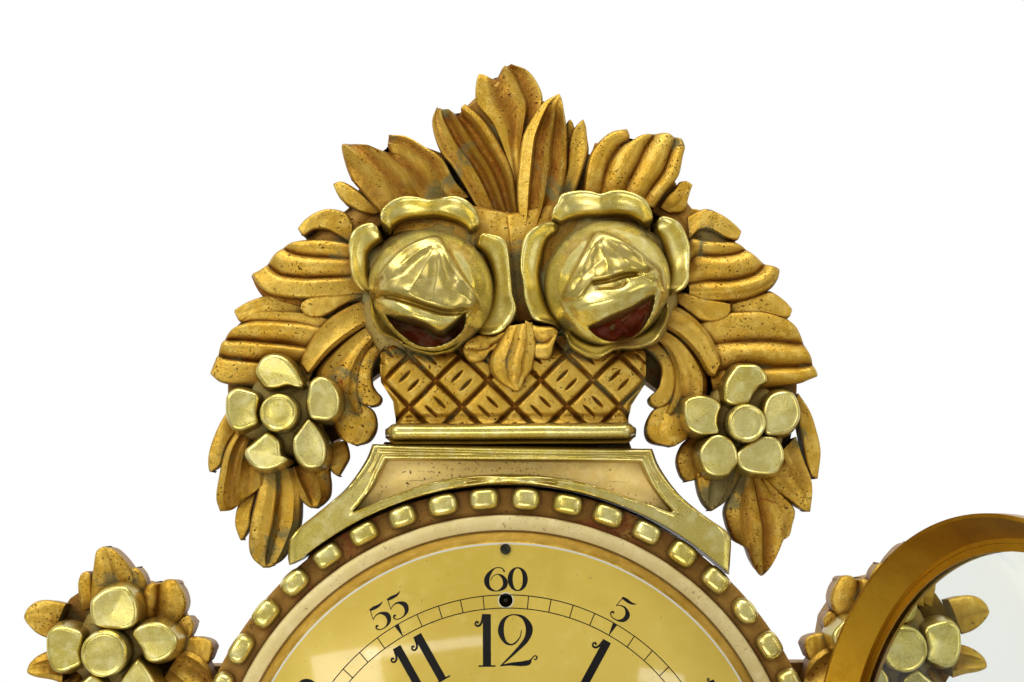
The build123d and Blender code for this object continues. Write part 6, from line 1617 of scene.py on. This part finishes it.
# Each glyph: strokes of (across, up, width), in units of its height.
glyphs = {
    "0": [("oval", 0.4, 0.5, 0.325, 0.462, 0.155, 0.035)],
    "1": [[(0.195, 0.99, 0.15), (0.195, 0.01, 0.15)], [(0.03, 0.012, 0.028), (0.36, 0.012, 0.028)],
          [(0.1, 0.985, 0.028), (0.27, 0.985, 0.028)], [(0.2, 0.985, 0.02), (0.12, 0.965, 0.03),
          (0.1, 0.86, 0.04), (0.06, 0.79, 0.04), (0, 0.775, 0.035), (-0.03, 0.82, 0.03), (0, 0.855, 0.035),
          (0.035, 0.83, 0.04)]],
    "2": [[(0.45, 0.69, 0.015), (0.42, 0.56, 0.02), (0.335, 0.455, 0.03), (0.24, 0.416, 0.03),
          (0.125, 0.475, 0.06), (0.05, 0.66, 0.11), (0.085, 0.85, 0.08), (0.19, 0.958, 0.03),
          (0.336, 0.985, 0.024), (0.5, 0.916, 0.07), (0.6, 0.727, 0.13), (0.545, 0.517, 0.1),
          (0.357, 0.307, 0.06), (0.05, 0.02, 0.02)], [(0.03, 0.015, 0.02), (0.23, 0.045, 0.05),
          (0.44, 0.05, 0.085), (0.58, 0.075, 0.09), (0.63, 0.13, 0.03), (0.7, 0.2, 0.02), (0.745, 0.17, 0.03),
          (0.72, 0.125, 0.02), (0.69, 0.14, 0.02)]],
    "3": [[(0.08, 0.8, 0.05), (0.13, 0.9, 0.04), (0.22, 0.96, 0.03), (0.4, 0.94, 0.06), (0.54, 0.77, 0.12),
          (0.44, 0.58, 0.05), (0.28, 0.53, 0.02)], [(0.28, 0.53, 0.02), (0.5, 0.5, 0.05), (0.63, 0.28, 0.14),
          (0.48, 0.06, 0.06), (0.25, 0.02, 0.03), (0.08, 0.11, 0.03), (0.08, 0.22, 0.06),
          (0.16, 0.22, 0.04)]],
    "4": [[(0.44, 0.98, 0.03), (0.24, 0.64, 0.03), (0.03, 0.3, 0.03)], [(0.02, 0.29, 0.035),
          (0.74, 0.29, 0.035)], [(0.51, 1, 0.13), (0.51, 0.02, 0.13)], [(0.36, 0.012, 0.028),
          (0.68, 0.012, 0.028)]],
    "5": [[(0.17, 0.94, 0.06), (0.34, 0.93, 0.1), (0.55, 0.92, 0.07), (0.72, 0.985, 0.015)],
          [(0.19, 0.93, 0.025), (0.12, 0.53, 0.02)], [(0.12, 0.53, 0.02), (0.25, 0.62, 0.03),
          (0.45, 0.62, 0.06), (0.63, 0.42, 0.15), (0.59, 0.17, 0.12), (0.4, 0.03, 0.04), (0.18, 0.04, 0.03),
          (0.07, 0.15, 0.04), (0.12, 0.24, 0.06), (0.18, 0.2, 0.04)]],
    "6": [[(0.74, 0.8, 0.05), (0.62, 0.955, 0.03), (0.38, 0.94, 0.035), (0.16, 0.67, 0.13), (0.1, 0.4, 0.16),
          (0.2, 0.134, 0.1), (0.45, 0.02, 0.03), (0.7, 0.16, 0.12), (0.76, 0.38, 0.15), (0.67, 0.59, 0.1),
          (0.5, 0.7, 0.03), (0.32, 0.62, 0.02), (0.24, 0.45, 0.02)]],
    "7": [[(0.04, 0.8, 0.03), (0.07, 0.9, 0.06), (0.22, 0.94, 0.1), (0.44, 0.9, 0.1), (0.66, 0.97, 0.03)],
          [(0.66, 0.97, 0.02), (0.52, 0.7, 0.03), (0.39, 0.45, 0.07), (0.32, 0.2, 0.12), (0.32, 0.02, 0.13)]],
    "8": [("oval", 0.35, 0.755, 0.205, 0.225, 0.11, 0.035), ("oval", 0.35, 0.275, 0.265, 0.255, 0.14, 0.035)],
}
glyphs["9"] = [[(0.86 - x, 1 - z, wide) for x, z, wide in stroke] for stroke in glyphs["6"]]


# Ribbon along a path: four corners per row, its front proud of the dome and its back below it.
def ribbon(path, half, closed=False):
    if closed:
        run = np.roll(path, -1, 0) - np.roll(path, 1, 0)
    else:
        run = np.gradient(path, axis=0)
    run = run / (np.linalg.norm(run, axis=1)[:, None] + 1e-9)
    side = np.stack([-run[:, 1], run[:, 0]], -1) * half[:, None]
    left, right = path + side, path - side
    high = printLook["proud"]
    columns = []
    for place, lift in ((left, high), (right, high), (right, -printLook["sunk"]), (left, -printLook["sunk"])):
        columns.append(np.stack([place[:, 0], -(dome(place[:, 0], place[:, 1]) + lift), place[:, 1]], -1))
    points = np.stack(columns, 1)
    if closed:
        return outward(points.reshape(-1, 3), [gridFaces(len(path), 4, True, True)])
    return sweptLoops(points)


# One glyph's strokes at a place on the dial, its foot towards the middle.
def glyphStrokes(letter, scale, offset, foot, degrees, stretch, bold):
    upward = np.array([math.sin(math.radians(degrees)), math.cos(math.radians(degrees))])
    along = np.array([upward[1], -upward[0]])
    made = []
    for stroke in glyphs[letter]:
        if stroke[0] == "oval":
            _, x, z, wide, tall, thickSide, thinTop = stroke
            angle = np.linspace(0, 2 * np.pi, 40, endpoint=False)
            reach = wide - thickSide / 2 + 0.02
            local = np.stack([x + reach * np.cos(angle), z + tall * np.sin(angle)], -1)
            half = (thinTop + (thickSide - thinTop) * np.abs(np.cos(angle)) ** 1.6) / 2
            closed = True
        else:
            straight = len(stroke) == 2
            table = np.linspace(*stroke, 10) if straight else smoothLine(stroke, 8 * len(stroke))
            local, half, closed = table[:, :2], np.maximum(table[:, 2], 0.012) / 2, False
        place = (offset + local[:, 0:1]) * scale * stretch * along + (foot + local[:, 1:2] * scale) * upward
        made.append(ribbon(place, half * scale * bold, closed))
    return made


def glyphSpan(letter):
    low, high = 9.0, -9.0
    for stroke in glyphs[letter]:
        if stroke[0] == "oval":
            low, high = min(low, stroke[1] - stroke[3]), max(high, stroke[1] + stroke[3])
        else:
            low = min(low, min(point[0] - point[2] / 2 for point in stroke))
            high = max(high, max(point[0] + point[2] / 2 for point in stroke))
    return low, high


def numeral(text, scale, foot, degrees, stretch, bold):
    spans = [glyphSpan(letter) for letter in text]
    total = sum(high - low for low, high in spans) + printLook["gap"] * (len(text) - 1)
    cursor, made = -total / 2, []
    for letter, (low, high) in zip(text, spans):
        made += glyphStrokes(letter, scale, cursor - low, foot, degrees, stretch, bold)
        cursor += high - low + printLook["gap"]
    return made


def dialPrinting():
    made = []
    for radius in (printLook["innerRing"], printLook["outerRing"]):
        made.append(ribbon(circle(radius, 240), np.full(240, printLook["line"] / 2), True))
    for minute in range(60):
        angle = math.radians(minute * 6)
        away = np.array([math.sin(angle), math.cos(angle)])
        radii = np.array([printLook["innerRing"], printLook["outerRing"]])
        half = np.full(2, printLook["mark"] / 2)
        if minute % 5 == 0:
            half = np.array([0.12, printLook["wedge"] / 2])
        if minute == 0:
            radii = np.array([printLook["outerRing"] - 0.5, printLook["outerRing"]])
        made.append(ribbon(radii[:, None] * away, half))
    for hour in range(1, 13):
        made += numeral(str(hour), printLook["hourHeight"], printLook["hourFoot"], hour * 30, 1.0,
                        printLook["hourBold"])
        made += numeral(str(hour * 5), printLook["minuteHeight"], printLook["minuteFoot"], hour * 30,
                        printLook["minuteStretch"], printLook["minuteBold"])
    return made


makePiece("dialPrinting", dialPrinting(), printInk)
print("dial printed")

# Slotted screws: a round head cut in two by its slot, over a plain lower disc.
screwLook = {
    "ring": 104.0, "head": 2.1, "low": 74.2, "high": 75.1, "slot": 0.62, "slotDeep": 0.5, "shank": 0.85,
    "foot": 70.8, "turns": (48, 135, 20),
}


def screwHead(x, z, turnDegrees):
    head, low, high, foot, shank = (screwLook[key] for key in ("head", "low", "high", "foot", "shank"))
    floor = high - screwLook["slotDeep"]
    cosine, sine = math.cos(math.radians(turnDegrees)), math.sin(math.radians(turnDegrees))
    edge = math.asin(screwLook["slot"] / 2 / head)
    bend = np.linspace(-np.pi / 2, np.pi / 2, 22) * (1 - 2 * edge / np.pi)
    parts = [turned([(0, -foot), (shank, -foot), (shank, -low), (head, -low), (head, -floor), (0, -floor)],
                    44, (x, z))]
    for side in (1, -1):
        half = np.stack([np.cos(bend) * head, np.sin(bend) * head], -1) * side
        spun = half @ np.array([[cosine, sine], [-sine, cosine]])
        inner = spun.mean(0)
        rows = []
        for shrink, depth in ((1.0, floor - 0.02), (1.0, high - 0.14), (0.95, high - 0.03), (0.88, high),
                              (0.4, high)):
            place = inner + (spun - inner) * shrink
            rows.append(np.stack([x + place[:, 0], np.full(len(place), -depth), z + place[:, 1]], -1))
        parts.append(sweptLoops(np.stack(rows)))
    return parts


dialScrews = []
for degrees, turnDegrees in zip((90, 210, 330), screwLook["turns"]):
    dialScrews += screwHead(*around(screwLook["ring"], degrees), turnDegrees)
makePiece("dialScrews", dialScrews, darkSteel, ["dial_screws"], smooth=30)

# Hands: filed blades with a square opening, leaning back along the dome.
handLook = {
    "minute": {
        "depth": 90.3, "lean": 6.6, "turn": 120.0, "hub": 4.6, "bore": 1.9, "window": 2.1, "windowAt": 54.0,
        "blade": [(-1.1, 0), (-1.6, 46), (-4.2, 54), (-1.4, 62), (0, 82), (1.4, 62), (4.2, 54), (1.6, 46),
                  (1.1, 0)],
        "tail": 21.0,
    },
    "hour": {
        "depth": 86.6, "lean": 4.4, "turn": 250.0, "hub": 6.0, "bore": 3.2, "window": 3.4, "windowAt": 35.5,
        "blade": [(-1.4, 0), (-1.9, 26), (-6.5, 36), (-1.8, 44), (0, 56), (1.8, 44), (6.5, 36), (1.9, 26),
                  (1.4, 0)],
        "tail": 0.0,
    },
    "thick": 1.0, "bevel": 0.16,
}


def spin(points, degrees):
    angle = math.radians(degrees)
    x, z = points[:, 0].copy(), points[:, 2].copy()
    points = points.copy()
    points[:, 0] = x * math.cos(angle) + z * math.sin(angle)
    points[:, 2] = -x * math.sin(angle) + z * math.cos(angle)
    return points


def handParts(look):
    lean = math.radians(look["lean"])
    at, size = look["windowAt"], look["window"]
    window = [(0, at - size), (size, at), (0, at + size), (-size, at)]
    blade = np.array(look["blade"], float)
    start = look["hub"] - 1.2
    blade[0, 1] = blade[-1, 1] = start
    flat = flatPlate(blade, [window], lambda x, z: 0 * x + handLook["thick"], lambda x, z: 0 * x)
    points = flat[0].copy()
    rise, out = -points[:, 1].copy(), points[:, 2].copy()
    points[:, 1] = -(look["depth"] + rise * math.cos(lean)) + out * math.sin(lean)
    points[:, 2] = out * math.cos(lean) + rise * math.sin(lean)
    parts = [(spin(points, look["turn"]), flat[1], flat[2])]
    front = look["depth"] + handLook["thick"]
    hub = turned([(look["bore"], -look["depth"]), (look["hub"], -look["depth"]), (look["hub"], -front + 0.2),
                  (look["hub"] - 0.25, -front), (look["bore"] + 0.9, -front),
                   (look["bore"], -front + 0.25)], 64)
    parts.append(hub)
    if look["tail"]:
        tail = flatPlate([(-1.5, -look["tail"]), (1.5, -look["tail"]), (1.2, -3.5), (-1.2, -3.5)], [],
                         lambda x, z: 0 * x + front, lambda x, z: 0 * x + look["depth"])
        parts.append((spin(tail[0], look["turn"]), tail[1], tail[2]))
    return parts


for name, body, node in (("minute", "minute_drive", "minute_hand"), ("hour", "hour_drive", "hour_hand")):
    hand = makePiece(name + "Hand", handParts(handLook[name]), blackPaint, [node], body, smooth=30)
    bevel = hand.modifiers.new("edge", "BEVEL")
    bevel.width = handLook["bevel"] * mm
    bevel.segments = 2
    bevel.limit_method = "ANGLE"
nutProfile = [(1.2, -91.3), (3.0, -91.3), (3.0, -92.2), (2.6, -93.0), (1.9, -93.4), (1.2, -93.4)]
makePiece("handNut", [turned(nutProfile, 48)], brass, ["hand_nut"], "minute_drive")
print("hands made")

# Door: turned closed, then swung open on its hinge.
doorLook = {"angle": 112.0, "hingeX": 120.5, "hingeY": -69.0, "segments": 256, "tint": srgb(236, 241, 237)}


def openDoor(part):
    points = part[0].copy()
    angle = math.radians(doorLook["angle"])
    x, y = points[:, 0] - doorLook["hingeX"], points[:, 1] - doorLook["hingeY"]
    points[:, 0] = doorLook["hingeX"] + x * math.cos(angle) - y * math.sin(angle)
    points[:, 1] = doorLook["hingeY"] + x * math.sin(angle) + y * math.cos(angle)
    return points, part[1], part[2]


def glassMaterial():
    material = bpy.data.materials.new("doorGlass")
    material.use_nodes = True
    shader = material.node_tree.nodes["Principled BSDF"]
    shader.inputs["Base Color"].default_value = doorLook["tint"]
    shader.inputs["Roughness"].default_value = 0.015
    shader.inputs["Transmission Weight"].default_value = 1.0
    shader.inputs["IOR"].default_value = 1.5
    return material


bezelProfile = [(117.4, -66.2), (117.4, -71), (117, -72.4), (115.4, -74), (112.6, -77.4), (110.2, -80.7),
                (108.9, -81.3), (107.6, -81.9), (106.4, -82.3), (105.2, -82.1), (104.6, -81.4),
                (104.6, -80.1), (107.2, -80), (107.2, -76.2), (108.8, -76.2), (116, -66)]
bezel = turned(bezelProfile, doorLook["segments"])
makePiece("doorBezel", [openDoor(bezel)], darkBrass, ["bezel_ring"], "door", smooth=35)
glassLook = {"sphere": 272.2, "drop": 250.2, "seat": 77.3, "radius": 107.1, "thick": 1.6}


def glassDome():
    radius = glassLook["radius"] * np.sin(np.linspace(0, np.pi / 2, 40))
    inside = glassLook["seat"] + np.sqrt(glassLook["sphere"] ** 2 - radius ** 2) - glassLook["drop"]
    profile = [(r, -depth) for r, depth in zip(radius, inside)]
    profile += [(r, -depth - glassLook["thick"]) for r, depth in zip(radius[::-1], inside[::-1])]
    return turned(profile, 192)


makePiece("doorGlass", [openDoor(glassDome())], glassMaterial(), ["door_glass"], "door", smooth=35)
retainerProfile = [(104.3, -76.3), (107.1, -76.3), (107.1, -77.2), (104.5, -77.2), (104.3, -77.0)]
makePiece("glassRetainer", [openDoor(turned(retainerProfile, doorLook["segments"]))], darkBrass,
          ["glass_retainer"], "door")
print("door hung")

# Pendant finial: an upright turned drop with soft lobes.
finialLook = {"lobes": 10, "depth": 40.0,
              "rows": [(-344, 1.2), (-342, 3.0), (-338, 5.4), (-334, 7.0), (-330, 7.7),
                                                   (-326, 7.2), (-321, 5.4), (-317, 4.3), (-312, 4.2)]}


def finial():
    table = smoothLine(finialLook["rows"], 40)
    angle = np.linspace(0, 2 * np.pi, 80, endpoint=False)
    lobes = 1 - 0.07 * (1 - np.abs(np.cos(finialLook["lobes"] / 2 * angle)))
    x = table[:, 1:2] * np.cos(angle) * lobes
    y = -finialLook["depth"] + table[:, 1:2] * np.sin(angle) * lobes
    z = table[:, 0:1] + 0 * x
    # painted shade in the grooves between the lobes
    hollow = np.clip((1 - lobes) * 12, 0, 1) + 0 * x
    return sweptLoops(np.stack([x, y, z], -1), hollow)


makePiece("finial", [finial()], giltWood, ["pendant_finial"])

# CAD pieces carried over, each with its own material.
carried = {
    "case_drum": drumPaint, "back_cover": bareWood, "hanger_plate": steel, "cover_screws": steel,
    "movement_plates": brass, "movement_pillars": brass, "movement_brackets": steel, "bracket_screws": steel,
    "cannon_pinion": steel, "minute_wheel": brass, "hour_wheel": brass, "going_barrel": brass,
    "strike_barrel": brass,
    "suspension_cock": brass, "regulator_arbor": darkSteel, "pendulum_rod": steel, "pendulum_bob": brass,
    "bell": brass,
    "bell_stand": steel, "strike_hammer": steel, "hinge_leaf": darkBrass, "hinge_pin": darkBrass,
    "pediment_board": carvedGround, "crest_board": carvedGround, "lower_board": carvedGround,
}
for node, material in carried.items():
    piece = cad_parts[node]
    if not piece.material_slots:
        piece.data.materials.append(material)
    for place in piece.material_slots:
        place.material = material

# Floor.
floorLook = {"low": -720.0, "half": 3000.0, "color": srgb(214, 213, 210), "rough": 0.9}
floorMesh = bpy.data.meshes.new("paleFloor")
side, low = floorLook["half"] * mm, floorLook["low"] * mm
corners = [(-side, -side, low), (side, -side, low), (side, side, low), (-side, side, low)]
floorMesh.from_pydata(corners, [], [(0, 1, 2, 3)])
floorPaint = bpy.data.materials.new("floorPaint")
floorPaint.use_nodes = True
floorPaint.node_tree.nodes["Principled BSDF"].inputs["Base Color"].default_value = floorLook["color"]
floorPaint.node_tree.nodes["Principled BSDF"].inputs["Roughness"].default_value = floorLook["rough"]
floorMesh.materials.append(floorPaint)
paleFloor = bpy.data.objects.new("paleFloor", floorMesh)
bpy.context.scene.collection.objects.link(paleFloor)

print("scene ready")
